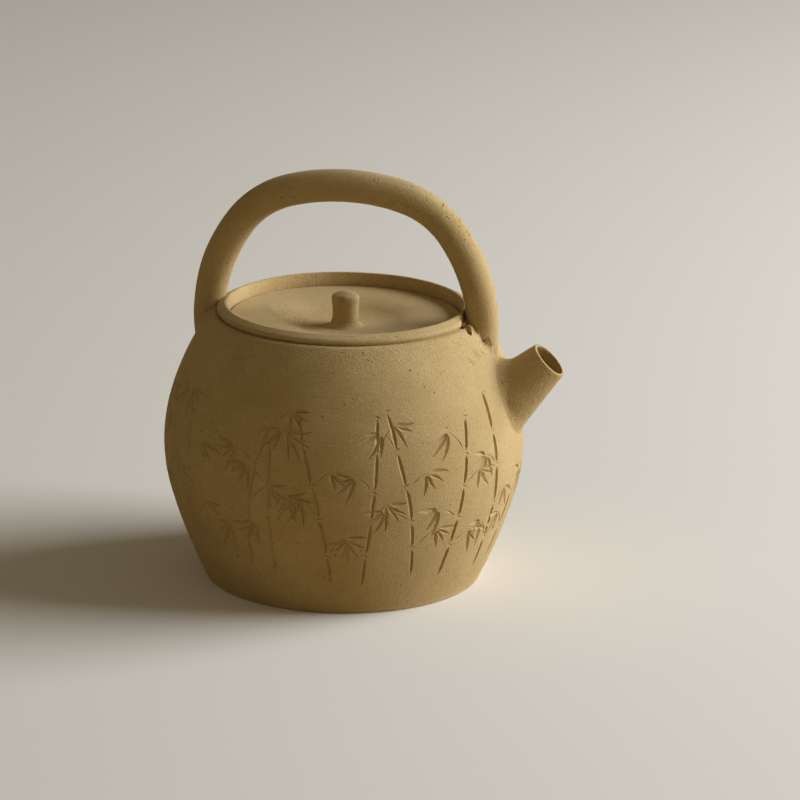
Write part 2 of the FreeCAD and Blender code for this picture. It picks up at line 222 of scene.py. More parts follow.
def cut_away(piece: bpy.types.Object, cutter: bpy.types.Object) -> None:
    """Takes a cutter's shape out of a piece for good, and removes the cutter.

    Args:
        piece: the object to cut.
        cutter: the shape to take out of it.
    """
    knife = piece.modifiers.new("knife", "BOOLEAN")
    knife.operation = "DIFFERENCE"
    knife.solver = "MANIFOLD"
    knife.object = cutter
    cut = bpy.data.meshes.new_from_object(piece.evaluated_get(bpy.context.evaluated_depsgraph_get()))
    piece.modifiers.remove(knife)
    whole, piece.data = piece.data, cut
    cut.name = piece.name
    bpy.data.meshes.remove(whole)
    bpy.data.meshes.remove(cutter.data)


def mend(piece: bpy.types.Object) -> None:
    """Closes up what the cuts leave in a skin, and turns it outwards.

    Points that all but meet are merged, and faces without an area or back to back are dropped.

    Args:
        piece: the object to mend.
    """
    bm = bmesh.new()
    bm.from_mesh(piece.data)
    for _ in range(2):
        bmesh.ops.remove_doubles(bm, verts=bm.verts, dist=MERGE)
        bmesh.ops.dissolve_degenerate(bm, dist=MERGE, edges=bm.edges)
        bmesh.ops.triangulate(bm, faces=[face for face in bm.faces if len(face.verts) > 4])
        twins: dict[frozenset, list[bmesh.types.BMFace]] = {}
        for face in bm.faces:
            twins.setdefault(frozenset(face.verts), []).append(face)
        flaps = [face for faces in twins.values() if len(faces) > 1 for face in faces]
        bmesh.ops.delete(bm, geom=flaps, context="FACES")
    for _ in range(4):
        torn = {face for edge in bm.edges if not edge.is_manifold for face in edge.link_faces}
        bmesh.ops.delete(bm, geom=list(torn), context="FACES")
        patches = bmesh.ops.holes_fill(bm, edges=[edge for edge in bm.edges if edge.is_boundary], sides=0)
        bmesh.ops.triangulate(bm, faces=patches["faces"])
    if bm.calc_volume(signed=True) < 0.0:
        bmesh.ops.reverse_faces(bm, faces=bm.faces)
    open_edges = sum(not edge.is_manifold or not edge.is_contiguous for edge in bm.edges)
    LOG.info("%s: %d open edges", piece.name, open_edges)
    bm.to_mesh(piece.data)
    bm.free()


class Clay(Enum):
    """The record's material slots."""

    BUFF = "buff_clay"
    LUTE = "luting_clay"
    LID = "lid_clay"


@dataclass(frozen=True)
class ClayFinish:
    """How one fired, unglazed clay surface looks."""

    name: str
    slot: Clay
    body: Colour
    shadow: Colour
    pit: Colour
    pits: float
    grain: float
    streak: float
    streak_size: tuple[float, float, float]
    bump: float
    coarse_low: float = 0.0
    coarse_high: float = 0.0
    coarse: float = 0.0


BUFF = (0.55, 0.4, 0.185, 1.0)
BUFF_SHADOW = (0.5, 0.352, 0.15, 1.0)
PALE_BUFF = (0.6, 0.45, 0.225, 1.0)
# Brown of the knife cuts: partly the cut clay's own tone, partly painted shade of the grooves' hollows.
GROOVE_BROWN_AND_SHADE = (0.36, 0.23, 0.085, 1.0)
PIT_BROWN = (0.19, 0.105, 0.032, 1.0)
PALE_SAND = (0.8, 0.66, 0.4, 1.0)
DUST = (1.0, 0.92, 0.76, 1.0)

BELLY_CLAY = ClayFinish(
    name="sandy_buff_clay",
    slot=Clay.BUFF,
    body=BUFF,
    shadow=BUFF_SHADOW,
    pit=PIT_BROWN,
    pits=0.05,
    grain=0.55,
    streak=0.25,
    streak_size=(0.12, 0.12, 0.9),
    bump=0.3 * MM,
    coarse_low=79.0 * MM,
    coarse_high=87.5 * MM,
    coarse=0.5,
)
# The grooves' material: its darker body and mottle are partly the cut clay's own tone and partly painted
# shade in the grooves.
CUT_CLAY_AND_SHADE = replace(
    BELLY_CLAY,
    name="knife_cut_clay_with_painted_shade",
    body=BUFF_SHADOW,
    shadow=GROOVE_BROWN_AND_SHADE,
    grain=0.8,
    streak=0.6,
    streak_size=(0.5, 0.5, 0.5),
    coarse=0.0,
)
COIL_CLAY = replace(
    BELLY_CLAY,
    name="rolled_coil_clay",
    pits=0.07,
    grain=0.6,
    streak=0.35,
    streak_size=(0.12, 0.7, 0.12),
    coarse=0.0,
)
SPOUT_CLAY = replace(
    COIL_CLAY,
    name="wiped_spout_clay",
    pits=0.05,
    grain=0.7,
    streak=1.0,
    streak_size=(0.25, 1.5, 0.6),
    bump=0.36 * MM,
)
SMEARED_CLAY = replace(
    SPOUT_CLAY,
    name="smeared_luting_clay",
    slot=Clay.LUTE,
    body=PALE_BUFF,
    shadow=BUFF,
    grain=0.6,
    streak_size=(0.35, 1.2, 0.35),
)
LID_CLAY = replace(
    COIL_CLAY,
    name="smoothed_lid_clay",
    slot=Clay.LID,
    pits=0.03,
    grain=0.45,
    streak=0.2,
    streak_size=(0.15, 0.15, 0.15),
    bump=0.26 * MM,
)
SPOUT_ROOT_CLAY = replace(SPOUT_CLAY, name="wiped_luting_clay", slot=Clay.LUTE)
KNOB_FOOT_CLAY = replace(LID_CLAY, name="smoothed_luting_clay", slot=Clay.LUTE)


class NodeSheet:
    """A short way to add and join the nodes of one tree."""

    def __init__(self, tree: bpy.types.NodeTree) -> None:
        """Holds the tree to draw in."""
        self.tree = tree

    def add(self, kind: str, inputs: dict | None = None, **settings: object) -> bpy.types.Node:
        """Adds a node.

        Args:
            kind: the node's type.
            inputs: values, or sockets to join, by input name or number.
            settings: the node's own properties.

        Returns:
            The new node.
        """
        node = self.tree.nodes.new(kind)
        for name, value in settings.items():
            setattr(node, name, value)
        for key, value in (inputs or {}).items():
            if isinstance(value, bpy.types.NodeSocket):
                self.tree.links.new(value, node.inputs[key])
            else:
                node.inputs[key].default_value = value
        return node

    def maths(self, operation: str, first: object, second: object = 0.0) -> bpy.types.NodeSocket:
        """The result of one sum on two numbers or sockets."""
        return self.add("ShaderNodeMath", {0: first, 1: second}, operation=operation).outputs[0]

    def ramp(self, value: object, low: float, high: float) -> bpy.types.NodeSocket:
        """A smooth step of a value from 0 at low to 1 at high."""
        inputs = {"Value": value, "From Min": low, "From Max": high}
        return self.add("ShaderNodeMapRange", inputs, interpolation_type="SMOOTHSTEP").outputs["Result"]

    def blend(
        self, share: object, first: object, second: object, mode: str = "MIX"
    ) -> bpy.types.NodeSocket:
        """A mix of two colours.

        Args:
            share: how much of the second colour there is.
            first: a colour or a socket.
            second: a colour or a socket.
            mode: how the two are mixed.

        Returns:
            The socket of the mixed colour.
        """
        node = self.add("ShaderNodeMix", data_type="RGBA", blend_type=mode)
        for index, value in ((0, share), (6, first), (7, second)):
            if isinstance(value, bpy.types.NodeSocket):
                self.tree.links.new(value, node.inputs[index])
            else:
                node.inputs[index].default_value = value
        return node.outputs[2]


@dataclass
class ClayShelf:
    """Makes the clay materials from one shared group of grain, pits and wiping streaks."""

    made: dict[str, bpy.types.Material] = field(default_factory=dict)

    @cached_property
    def group(self) -> bpy.types.NodeTree:
        """The node group of a fired clay surface, in millimetres on Object coordinates.

        Returns:
            The group, which puts out colour, roughness and height.
        """
        tree = bpy.data.node_groups.new("fired_clay", "ShaderNodeTree")
        for name, kind in (
            ("Body", "NodeSocketColor"),
            ("Shadow", "NodeSocketColor"),
            ("Pit", "NodeSocketColor"),
            ("Pits", "NodeSocketFloat"),
            ("Grain", "NodeSocketFloat"),
            ("Streak", "NodeSocketFloat"),
            ("Streak Size", "NodeSocketVector"),
        ):
            tree.interface.new_socket(name, in_out="INPUT", socket_type=kind)
        for name, kind in (
            ("Color", "NodeSocketColor"),
            ("Roughness", "NodeSocketFloat"),
            ("Height", "NodeSocketFloat"),
        ):
            tree.interface.new_socket(name, in_out="OUTPUT", socket_type=kind)
        sheet = NodeSheet(tree)
        given = sheet.add("NodeGroupInput").outputs
        place = sheet.add("ShaderNodeTexCoord").outputs["Object"]
        place = sheet.add(
            "ShaderNodeVectorMath", {0: place, "Scale": 1.0 / MM}, operation="SCALE"
        ).outputs[0]

        def cloud(scale: float, detail: float, at: bpy.types.NodeSocket = place) -> bpy.types.NodeSocket:
            """A noise of one scale per millimetre."""
            inputs = {"Vector": at, "Scale": scale, "Detail": detail, "Roughness": 0.62}
            return sheet.add("ShaderNodeTexNoise", inputs).outputs["Fac"]

        mottle = sheet.ramp(cloud(0.055, 4.0), 0.36, 0.66)
        grain = cloud(1.7, 3.0)
        streak_place = sheet.add(
            "ShaderNodeVectorMath", {0: place, 1: given["Streak Size"]}, operation="MULTIPLY"
        ).outputs[0]
        streak = cloud(1.0, 4.0, streak_place)
        sand = sheet.add("ShaderNodeTexVoronoi", {"Vector": place, "Scale": 1.15})
        grit = sheet.add("ShaderNodeSeparateColor", {0: sand.outputs["Color"]}).outputs
        near = sheet.ramp(sand.outputs["Distance"], 0.42, 0.2)
        dark_grit = sheet.maths("MULTIPLY", near, sheet.ramp(grit[0], 0.8, 0.9))
        pale_grit = sheet.maths("MULTIPLY", near, sheet.ramp(grit[1], 0.76, 0.86))
        wobble = sheet.add(
            "ShaderNodeTexNoise", {"Vector": place, "Scale": 0.9, "Detail": 2.0}
        ).outputs["Color"]
        ragged = sheet.add("ShaderNodeVectorMath", {0: place, 1: wobble}, operation="ADD").outputs[0]
        hole = sheet.add("ShaderNodeTexVoronoi", {"Vector": ragged, "Scale": 0.55})
        chance = sheet.add("ShaderNodeSeparateColor", {0: hole.outputs["Color"]}).outputs[2]
        picked = sheet.maths("LESS_THAN", chance, given["Pits"])
        pit = sheet.maths("MULTIPLY", picked, sheet.ramp(hole.outputs["Distance"], 0.24, 0.1))

        colour = sheet.blend(mottle, given["Body"], given["Shadow"])
        wiped = sheet.maths("MULTIPLY", sheet.ramp(streak, 0.35, 0.7), given["Streak"])
        colour = sheet.blend(sheet.maths("MULTIPLY", wiped, 0.45), colour, given["Shadow"])
        tone = sheet.maths("MULTIPLY_ADD", sheet.maths("SUBTRACT", grain, 0.5), given["Grain"])
        tone.node.inputs[2].default_value = 1.0
        grey = sheet.add("ShaderNodeCombineColor", {0: tone, 1: tone, 2: tone}).outputs[0]
        colour = sheet.blend(1.0, colour, grey, "MULTIPLY")
        colour = sheet.blend(sheet.maths("MULTIPLY", dark_grit, 0.28), colour, given["Pit"])
        colour = sheet.blend(sheet.maths("MULTIPLY", pale_grit, 0.22), colour, PALE_SAND)
        colour = sheet.blend(sheet.maths("MULTIPLY", pit, 0.75), colour, given["Pit"])

        height = sheet.maths("MULTIPLY", grain, given["Grain"])
        height = sheet.maths("ADD", height, sheet.maths("MULTIPLY", pale_grit, 0.22))
        height = sheet.maths("SUBTRACT", height, sheet.maths("MULTIPLY", dark_grit, 0.25))
        height = sheet.maths("SUBTRACT", height, sheet.maths("MULTIPLY", pit, 1.1))
        height = sheet.maths("SUBTRACT", height, sheet.maths("MULTIPLY", wiped, 0.5))
        rough = sheet.add(
            "ShaderNodeMapRange", {"Value": grain, "To Min": 0.78, "To Max": 0.96}
        ).outputs["Result"]
        sheet.add("NodeGroupOutput", {"Color": colour, "Roughness": rough, "Height": height})
        return tree

    def take(self, finish: ClayFinish) -> bpy.types.Material:
        """The material of one finish, made the first time it is asked for.

        Args:
            finish: the finish that is asked for.

        Returns:
            Its material.
        """
        if finish.name in self.made:
            return self.made[finish.name]
        material = bpy.data.materials.new(finish.name)
        material.use_nodes = True
        material.node_tree.nodes.clear()
        sheet = NodeSheet(material.node_tree)
        clay = sheet.add("ShaderNodeGroup", node_tree=self.group)
        for name, value in (
            ("Body", finish.body),
            ("Shadow", finish.shadow),
            ("Pit", finish.pit),
            ("Pits", finish.pits),
            ("Grain", finish.grain),
            ("Streak", finish.streak),
            ("Streak Size", finish.streak_size),
        ):
            clay.inputs[name].default_value = value
        if finish.coarse > 0.0:
            place = sheet.add("ShaderNodeTexCoord").outputs["Object"]
            height = sheet.add("ShaderNodeSeparateXYZ", {0: place}).outputs["Z"]
            rise = sheet.ramp(height, finish.coarse_low, finish.coarse_high)
            grain = sheet.maths("MULTIPLY_ADD", rise, finish.coarse)
            grain.node.inputs[2].default_value = finish.grain
            sheet.tree.links.new(grain, clay.inputs["Grain"])
        bump = sheet.add(
            "ShaderNodeBump", {"Height": clay.outputs["Height"], "Distance": finish.bump, "Strength": 0.8}
        )
        surface = sheet.add(
            "ShaderNodeBsdfPrincipled",
            {
                "Base Color": clay.outputs["Color"],
                "Roughness": clay.outputs["Roughness"],
                "Normal": bump.outputs["Normal"],
                "IOR": 1.45,
                "Specular IOR Level": 0.3,
                "Sheen Weight": 0.16,
                "Sheen Roughness": 0.45,
                "Sheen Tint": DUST,
            },
        )
        sheet.add("ShaderNodeOutputMaterial", {"Surface": surface.outputs["BSDF"]})
        self.made[finish.name] = material
        return material

    def dress(
        self, piece: bpy.types.Object, finishes: Sequence[ClayFinish], body: str, *nodes: str
    ) -> None:
        """Gives a finished piece its materials and its place in the frame.

        Args:
            piece: the finished object.
            finishes: one finish for each material slot.
            body: the body that it rides on.
            nodes: the solids that it stands for.
        """
        mend(piece)
        piece.data.materials.clear()
        for finish in finishes:
            piece.data.materials.append(self.take(finish))
        shade(piece)
        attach(piece, body)
        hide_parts(*nodes)
        LOG.info("%s: %d faces, for %s", piece.name, len(piece.data.polygons), ", ".join(nodes))

    def dress_solid(self, node: str, finish: ClayFinish) -> None:
        """Gives a solid of the frame that stays in view its clay.

        Args:
            node: the solid's name.
            finish: its finish.
        """
        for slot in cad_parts[node].material_slots:
            slot.material = self.take(finish)
        LOG.info("%s: the packed solid in %s", node, finish.name)


@dataclass(frozen=True)
class Arc:
    """One circular stretch of a half section."""

    centre: Vector
    radius: float
    start_deg: float
    end_deg: float

    def at(self, degrees: float, inset: float = 0.0) -> Vector:
        """The point at an angle, moved in towards the centre."""
        return self.centre + heading(degrees) * (self.radius - inset)

    def mirrored(self) -> "Arc":
        """The same arc on the other side of the Z axis."""
        centre = section(-self.centre.x, self.centre.z)
        return Arc(centre, self.radius, 180.0 - self.end_deg, 180.0 - self.start_deg)

    def points(self, spacing: float, inset: float = 0.0) -> list[Vector]:
        """Points from start to end, no further apart than a spacing.

        Args:
            spacing: the most between two points.
            inset: how far the points are moved in.

        Returns:
            The points, in order.
        """
        span = self.end_deg - self.start_deg
        count = max(2, math.ceil(abs(math.radians(span)) * (self.radius - inset) / spacing))
        return [self.at(self.start_deg + span * index / count, inset) for index in range(count + 1)]


@dataclass(frozen=True)
class BodyFace:
    """The pot's outer face in half section: three tangent arcs from the foot to the shoulder's top."""

    belly_radius: float
    top_height: float
    belly_height: float = 45.7 * MM
    belly_arc: float = 56.3 * MM
    below_deg: float = 15.0
    above_deg: float = 14.0
    base_inset: float = 13.9 * MM
    top_inset: float = 16.2 * MM

    @staticmethod
    def onward(start: Vector, normal: Vector, end: Vector) -> tuple[Vector, float]:
        """Centre and radius of the arc that leaves start square to normal and passes through end.

        Args:
            start: where the arc starts.
            normal: the outward normal there.
            end: where the arc ends.

        Returns:
            The arc's centre and radius.
        """
        chord = end - start
        radius = -chord.dot(chord) / (2.0 * chord.dot(normal))
        return start - normal * radius, radius

    @cached_property
    def top_radius(self) -> float:
        """Radius of the shoulder's top edge."""
        return self.belly_radius - self.top_inset

    @cached_property
    def arcs(self) -> tuple[Arc, Arc, Arc]:
        """Flank, belly and dome, from the table up.

        Returns:
            The three arcs, in order.
        """
        middle = section(self.belly_radius - self.belly_arc, self.belly_height)
        belly = Arc(middle, self.belly_arc, -self.below_deg, self.above_deg)
        foot = section(self.belly_radius - self.base_inset, 0.0)
        top = section(self.top_radius, self.top_height)
        flank_centre, flank = self.onward(belly.at(-self.below_deg), heading(-self.below_deg), foot)
        dome_centre, dome = self.onward(belly.at(self.above_deg), heading(self.above_deg), top)
        foot_deg = math.degrees(math.asin(-flank_centre.z / flank))
        top_deg = math.degrees(math.asin((self.top_height - dome_centre.z) / dome))
        return (
            Arc(flank_centre, flank, foot_deg, -self.below_deg),
            belly,
            Arc(dome_centre, dome, self.above_deg, top_deg),
        )

    def arc_at(self, height: float, inset: float = 0.0) -> Arc:
        """The arc that passes a height.

        Args:
            height: a height above the table.
            inset: how far inside the face.

        Returns:
            The arc.
        """
        for arc in self.arcs:
            if height <= arc.at(arc.end_deg, inset).z:
                return arc
        return self.arcs[-1]

    def tilt(self, height: float, inset: float = 0.0) -> float:
        """Angle of the outward normal above the horizontal at a height, in degrees."""
        arc = self.arc_at(height, inset)
        return math.degrees(math.asin(min(1.0, (height - arc.centre.z) / (arc.radius - inset))))

    def at(self, height: float, inset: float = 0.0) -> Vector:
        """The point of the half section at a height."""
        return self.arc_at(height, inset).at(self.tilt(height, inset), inset)

    def rows(self, low: float, spacing: float, inset: float = 0.0) -> list[Vector]:
        """Points of the half section from a height up to the top.

        Args:
            low: the lowest height.
            spacing: the most between two points.
            inset: how far inside the face.

        Returns:
            The points, from the lowest up.
        """
        points: list[Vector] = []
        for arc in self.arcs:
            if arc.at(arc.end_deg, inset).z > low:
                start = max(arc.start_deg, self.tilt(low, inset)) if not points else arc.start_deg
                stretch = Arc(arc.centre, arc.radius, start, arc.end_deg).points(spacing, inset)
                points += stretch[1:] if points else stretch
        return points

    def spot(self, turn: float, height: float, lift: float = 0.0) -> Vector:
        """The point at an angle round the pot and a height, lifted off the face."""
        return Matrix.Rotation(turn, 3, "Z") @ (self.at(height) + heading(self.tilt(height)) * lift)

    def nearest_arc(self, place: Vector) -> Arc:
        """The arc whose wedge holds a place.

        Args:
            place: a place in the pot's frame.

        Returns:
            The arc.
        """
        flank, belly, dome = self.arcs
        offset = section(place.xy.length, place.z) - belly.centre
        angle = math.degrees(math.atan2(offset.z, offset.x))
        return flank if angle < belly.start_deg else dome if angle > belly.end_deg else belly

    def clearance(self, place: Vector) -> float:
        """How far a place lies outside the pot's face or above its top edge.

        Args:
            place: a place in the pot's frame.

        Returns:
            The distance, below 0 inside the pot.
        """
        arc = self.nearest_arc(place)
        outside = (section(place.xy.length, place.z) - arc.centre).length - arc.radius
        return max(outside, place.z - self.top_height)

    def normal(self, place: Vector) -> Vector:
        """The outward normal of the face next to a place.

        Args:
            place: a place in the pot's frame.

        Returns:
            A unit vector.
        """
        flat = section(place.xy.length, place.z)
        out = (flat - self.nearest_arc(place).centre).normalized()
        return Matrix.Rotation(math.atan2(place.y, place.x), 3, "Z") @ out

    def laid(self, place: Vector, lift: float = 0.0) -> Vector:
        """The point of the face nearest to a place, lifted off it.

        Args:
            place: a place in the pot's frame.
            lift: how far the point is lifted.

        Returns:
            The point.
        """
        arc = self.nearest_arc(place)
        outside = (section(place.xy.length, place.z) - arc.centre).length - arc.radius
        return place + self.normal(place) * (lift - outside)

    def met(self, way: Callable[[float], Vector], inside: float, outside: float) -> float:
        """The distance along a way at which it comes out of the pot.

        Args:
            way: gives a place for a distance.
            inside: a distance at which the way is inside the pot.
            outside: a distance at which it is outside.

        Returns:
            The distance at the face.
        """
        for _ in range(30):
            middle = (inside + outside) / 2.0
            if self.clearance(way(middle)) > 0.0:
                outside = middle
            else:
                inside = middle
        return (inside + outside) / 2.0


class Cut(Enum):
    """The kinds of stroke in the clay."""

    STEM = "stem"
    JOINT = "joint"
    TWIG = "twig"
    LEAF = "leaf"
    SCRATCH = "scratch"

    def breadth(self, share: float) -> float:
        """The stroke's width at a share of its length, from 0 to 1.

        Args:
            share: how far along the stroke.

        Returns:
            The width there, as a share of the widest.
        """
        if self is Cut.LEAF:
            return math.sin(math.pi * share**0.62) ** 0.85
        if self is Cut.TWIG:
            return min(1.0, 7.0 * share) * (1.0 - 0.75 * share)
        if self is Cut.JOINT:
            return math.sin(math.pi * share) ** 0.6
        return 1.0 - (2.0 * share - 1.0) ** 6


@dataclass(frozen=True)
class Stroke:
    """One knife stroke on the unrolled belly, where x runs round the pot and y is the height."""

    cut: Cut
    x: float
    y: float
    lean: float
    length: float
    width: float
    depth: float
    bow: float = 0.0

    def at(self, share: float, aside: float = 0.0) -> tuple[float, float]:
        """The place at a share of the length, moved to the left of the stroke's way.

        Args:
            share: how far along the stroke, from 0 to 1.
            aside: how far to the left.

        Returns:
            The place's x and y.
        """
        along = share * self.length
        side = aside + self.bow * self.length * 4.0 * share * (1.0 - share)
        way_x, way_y = math.cos(self.lean), math.sin(self.lean)
        return self.x + way_x * along - way_y * side, self.y + way_y * along + way_x * side

    def meets(self, other: "Stroke", girth: float) -> bool:
        """Tells whether two strokes come nearer than a thin wall of clay.

        Args:
            other: the other stroke.
            girth: the length once round the belly, after which x starts again.

        Returns:
            True where they would run into each other.
        """
        apart = (self.x - other.x + girth / 2.0) % girth - girth / 2.0
        if abs(apart) > self.length + other.length + THIN_WALL:
            return False
        samples = [index / 6.0 for index in range(7)]
        for mine in samples:
            x, y = self.at(mine)
            for theirs in samples:
                other_x, other_y = other.at(theirs)
                apart = (x - other_x + girth / 2.0) % girth - girth / 2.0
                if math.hypot(apart, y - other_y) < (self.width + other.width) * 0.62 + THIN_WALL:
                    return True
        return False


@dataclass
class BambooCarving:
    """Sprays of bamboo cut all round the belly."""

    face: BodyFace
    seed: int = 29
    sprays: int = 12
    low: float = 10.5 * MM
    high: float = 69.0 * MM
    stem_width: float = 1.5 * MM
    leaf_width: float = 1.75 * MM
    twig_width: float = 0.95 * MM
    twig_start: float = 1.9 * MM
    joint_gap: float = 1.5 * MM
    tick_length: float = 2.6 * MM
    tick_width: float = 0.8 * MM
    depth: float = 0.72 * MM
    fine_depth: float = 0.35 * MM
    lift: float = 0.3 * MM
    lip: float = 0.45
    first_deg: float = -77.0
    spout_half_turn: float = math.radians(17.0)
    spout_low: float = 46.0 * MM
    scratch_count: int = 6
    scratch_width: float = 0.34 * MM
    scratch_depth: float = 0.22 * MM
    scratch_turns_deg: tuple[float, float] = (-23.0, -10.5)
    scratch_heights: tuple[float, float] = (79.5 * MM, 87.0 * MM)

    def strokes(self) -> list[Stroke]:
        """All the strokes, in sprays spaced round the belly.

        Returns:
            The strokes that fit on the belly, and then the scratches.
        """
        chance = random.Random(self.seed)
        strokes: list[Stroke] = []
        step = math.tau / self.sprays
        for index in range(self.sprays):
            middle = math.radians(self.first_deg) + step * (index + chance.uniform(-0.1, 0.1))
            strokes += self.spray(middle * self.face.belly_radius, chance)
        return [stroke for stroke in strokes if self.clear_of_spout(stroke)] + self.scratches(chance)

    def scratches(self, chance: random.Random) -> list[Stroke]:
        """The fine scratches that the tool left beside the handle's front root.

        Args:
            chance: the source of their variation.

        Returns:
            The scratches.
        """
        strokes: list[Stroke] = []
        first, last = self.scratch_turns_deg
        for index in range(self.scratch_count):
            share = (index + chance.uniform(-0.35, 0.35)) / (self.scratch_count - 1)
            turn = math.radians(first + (last - first) * share)
            height = chance.uniform(*self.scratch_heights)
            lean = math.radians(chance.uniform(-66.0, -48.0))
            length = chance.uniform(1.6, 4.4) * MM
            strokes.append(
                Stroke(
                    Cut.SCRATCH,
                    turn * self.face.belly_radius,
                    height,
                    lean,
                    length,
                    self.scratch_width,
                    self.scratch_depth,
                    chance.uniform(-0.12, 0.12),
                )
            )
        return strokes

    def clear_of_spout(self, stroke: Stroke) -> bool:
        """Whether a stroke keeps to the belly and away from the spout's root.

        Args:
            stroke: the stroke to test.

        Returns:
            True where it may be cut.
        """
        for share in (0.0, 0.5, 1.0):
            x, y = stroke.at(share)
            turn = (x / self.face.belly_radius + math.pi) % math.tau - math.pi
            if not self.low - 2.0 * MM < y < self.high + 2.0 * MM:
                return False
            if abs(turn) < self.spout_half_turn and y > self.spout_low:
                return False
        return True

    def spray(self, x: float, chance: random.Random) -> list[Stroke]:
        """One clump: two jointed stems with twigs and hanging leaves.

        Args:
            x: where the clump stands, round the belly.
            chance: the source of the clump's own variation.

        Returns:
            The clump's strokes.
        """
        strokes: list[Stroke] = []
        for stem in range(2):
            foot = x + (stem - 0.5) * chance.uniform(9.0, 14.0) * MM
            lean = math.pi / 2.0 + chance.uniform(-0.16, 0.16)
            y = self.low + chance.uniform(0.0, 5.0) * MM
            side = chance.choice((-1.0, 1.0))
            while y < self.high - 8.0 * MM:
                length = chance.uniform(8.0, 12.5) * MM
                bow = chance.uniform(-0.02, 0.02)
                joint = Stroke(Cut.STEM, foot, y, lean, length, self.stem_width, self.depth, bow)
                strokes.append(joint)
                foot, y = joint.at(1.0)
                knot = y + self.joint_gap / 2.0
                strokes.append(
                    Stroke(
                        Cut.JOINT,
                        foot - self.tick_length / 2.0,
                        knot,
                        lean - math.pi / 2.0 + chance.uniform(-0.2, 0.2),
                        self.tick_length,
                        self.tick_width,
                        self.fine_depth,
                        0.12,
                    )
                )
                strokes += self.twig(foot, knot, side, chance)
                side = -side
                foot += math.cos(lean) * self.joint_gap
                y += math.sin(lean) * self.joint_gap
                lean += chance.uniform(-0.06, 0.06)
        return strokes

    def twig(self, x: float, y: float, side: float, chance: random.Random) -> list[Stroke]:
        """A twig that leaves a joint to one side, with a fan of leaves at its tip.

        Args:
            x: the joint's place round the belly.
            y: the joint's height.
            side: 1 to the right, -1 to the left.
            chance: the source of the twig's own variation.

        Returns:
            The twig's strokes.
        """
        rise = chance.uniform(0.45, 0.95)
        lean = rise if side > 0 else math.pi - rise
        length = chance.uniform(5.0, 8.5) * MM
        twig = Stroke(
            Cut.TWIG,
            x + math.cos(lean) * self.twig_start,
            y + math.sin(lean) * self.twig_start,
            lean,
            length,
            self.twig_width,
            self.fine_depth,
            0.06 * side,
        )
        strokes = [twig]
        tip_x, tip_y = twig.at(1.0)
        leaves = chance.choice((3, 4, 4, 5))
        for leaf in range(leaves):
            fan = (leaf - (leaves - 1) / 2.0) * chance.uniform(0.44, 0.58)
            droop = -0.75 if side > 0 else math.pi + 0.75
            way = droop + fan + chance.uniform(-0.08, 0.08)
            reach = chance.uniform(5.5, 9.5) * MM
            gap = chance.uniform(0.7, 1.1) * MM
            strokes.append(
                Stroke(
                    Cut.LEAF,
                    tip_x + math.cos(way) * gap,
                    tip_y + math.sin(way) * gap,
                    way,
                    reach,
                    self.leaf_width * chance.uniform(0.8, 1.15),
                    self.depth * chance.uniform(0.8, 1.15),
                    chance.uniform(-0.07, 0.07),
                )
            )
        return strokes

    def passes(self) -> list[list[Stroke]]:
        """The strokes sorted into passes of the knife, so that none in a pass runs into another.

        Returns:
            The passes, each with its strokes.
        """
        passes: list[list[Stroke]] = []
        girth = math.tau * self.face.belly_radius
        for stroke in self.strokes():
            for batch in passes:
                if not any(stroke.meets(other, girth) for other in batch):
                    batch.append(stroke)
                    break
            else:
                passes.append([stroke])
        return passes

    def blade(self) -> bpy.types.Mesh:
        """The shape of one stroke before it is laid on the pot: a three-sided bar cut into lengths.

        Returns:
            The bar's mesh, one unit long.
        """
        bm = bmesh.new()
        bmesh.ops.create_cone(bm, cap_ends=True, segments=3, radius1=1.0, radius2=1.0, depth=1.0)
        bars = [edge for edge in bm.edges if abs(edge.verts[0].co.z - edge.verts[1].co.z) > 0.5]
        bmesh.ops.subdivide_edges(bm, edges=bars, cuts=7, use_grid_fill=True)
        mesh = bpy.data.meshes.new("blade")
        bm.to_mesh(mesh)
        bm.free()
        return mesh

    def cutter(self, strokes: Sequence[Stroke]) -> bpy.types.Object:
        """The wedges of one pass of the knife, as one object.

        Args:
            strokes: the strokes of the pass.

        Returns:
            The cutter.
        """
        blade = self.blade()
        corners = sorted({round(math.atan2(vert.co.y, vert.co.x), 3) for vert in blade.vertices})
        bm = bmesh.new()
        for stroke in strokes:
            first = len(bm.verts)
            bm.from_mesh(blade)
            bm.verts.ensure_lookup_table()
            for vert in bm.verts[first:]:
                corner = corners.index(round(math.atan2(vert.co.y, vert.co.x), 3))
                vert.co = self.laid(stroke, vert.co.z + 0.5, corner)
        bpy.data.meshes.remove(blade)
        if bm.calc_volume(signed=True) < 0.0:
            bmesh.ops.reverse_faces(bm, faces=bm.faces)
        for face in bm.faces:
            # The cut faces take the second slot, the darker groove clay with painted shade.
            face.material_index = 1
        return as_piece("knife_pass", bm)

    def laid(self, stroke: Stroke, share: float, corner: int) -> Vector:
        """The place of one corner of a stroke's wedge.

        Args:
            stroke: the stroke.
            share: how far along it, from 0 to 1.
            corner: 0 and 2 are the edges above the face, 1 is the bottom of the cut.

        Returns:
            The corner's place, in the pot's frame.
        """
        breadth = max(0.08, stroke.cut.breadth(share))
        half = stroke.width * breadth / 2.0
        depth = stroke.depth * (0.25 + 0.75 * breadth)
        if corner == 1:
            aside, lift = -half * self.lip, -depth
        else:
            aside, lift = (1 - corner) * half * (1.0 + self.lift / depth), self.lift
        x, y = stroke.at(share, aside)
        return self.face.spot(x / self.face.belly_radius, y, lift)


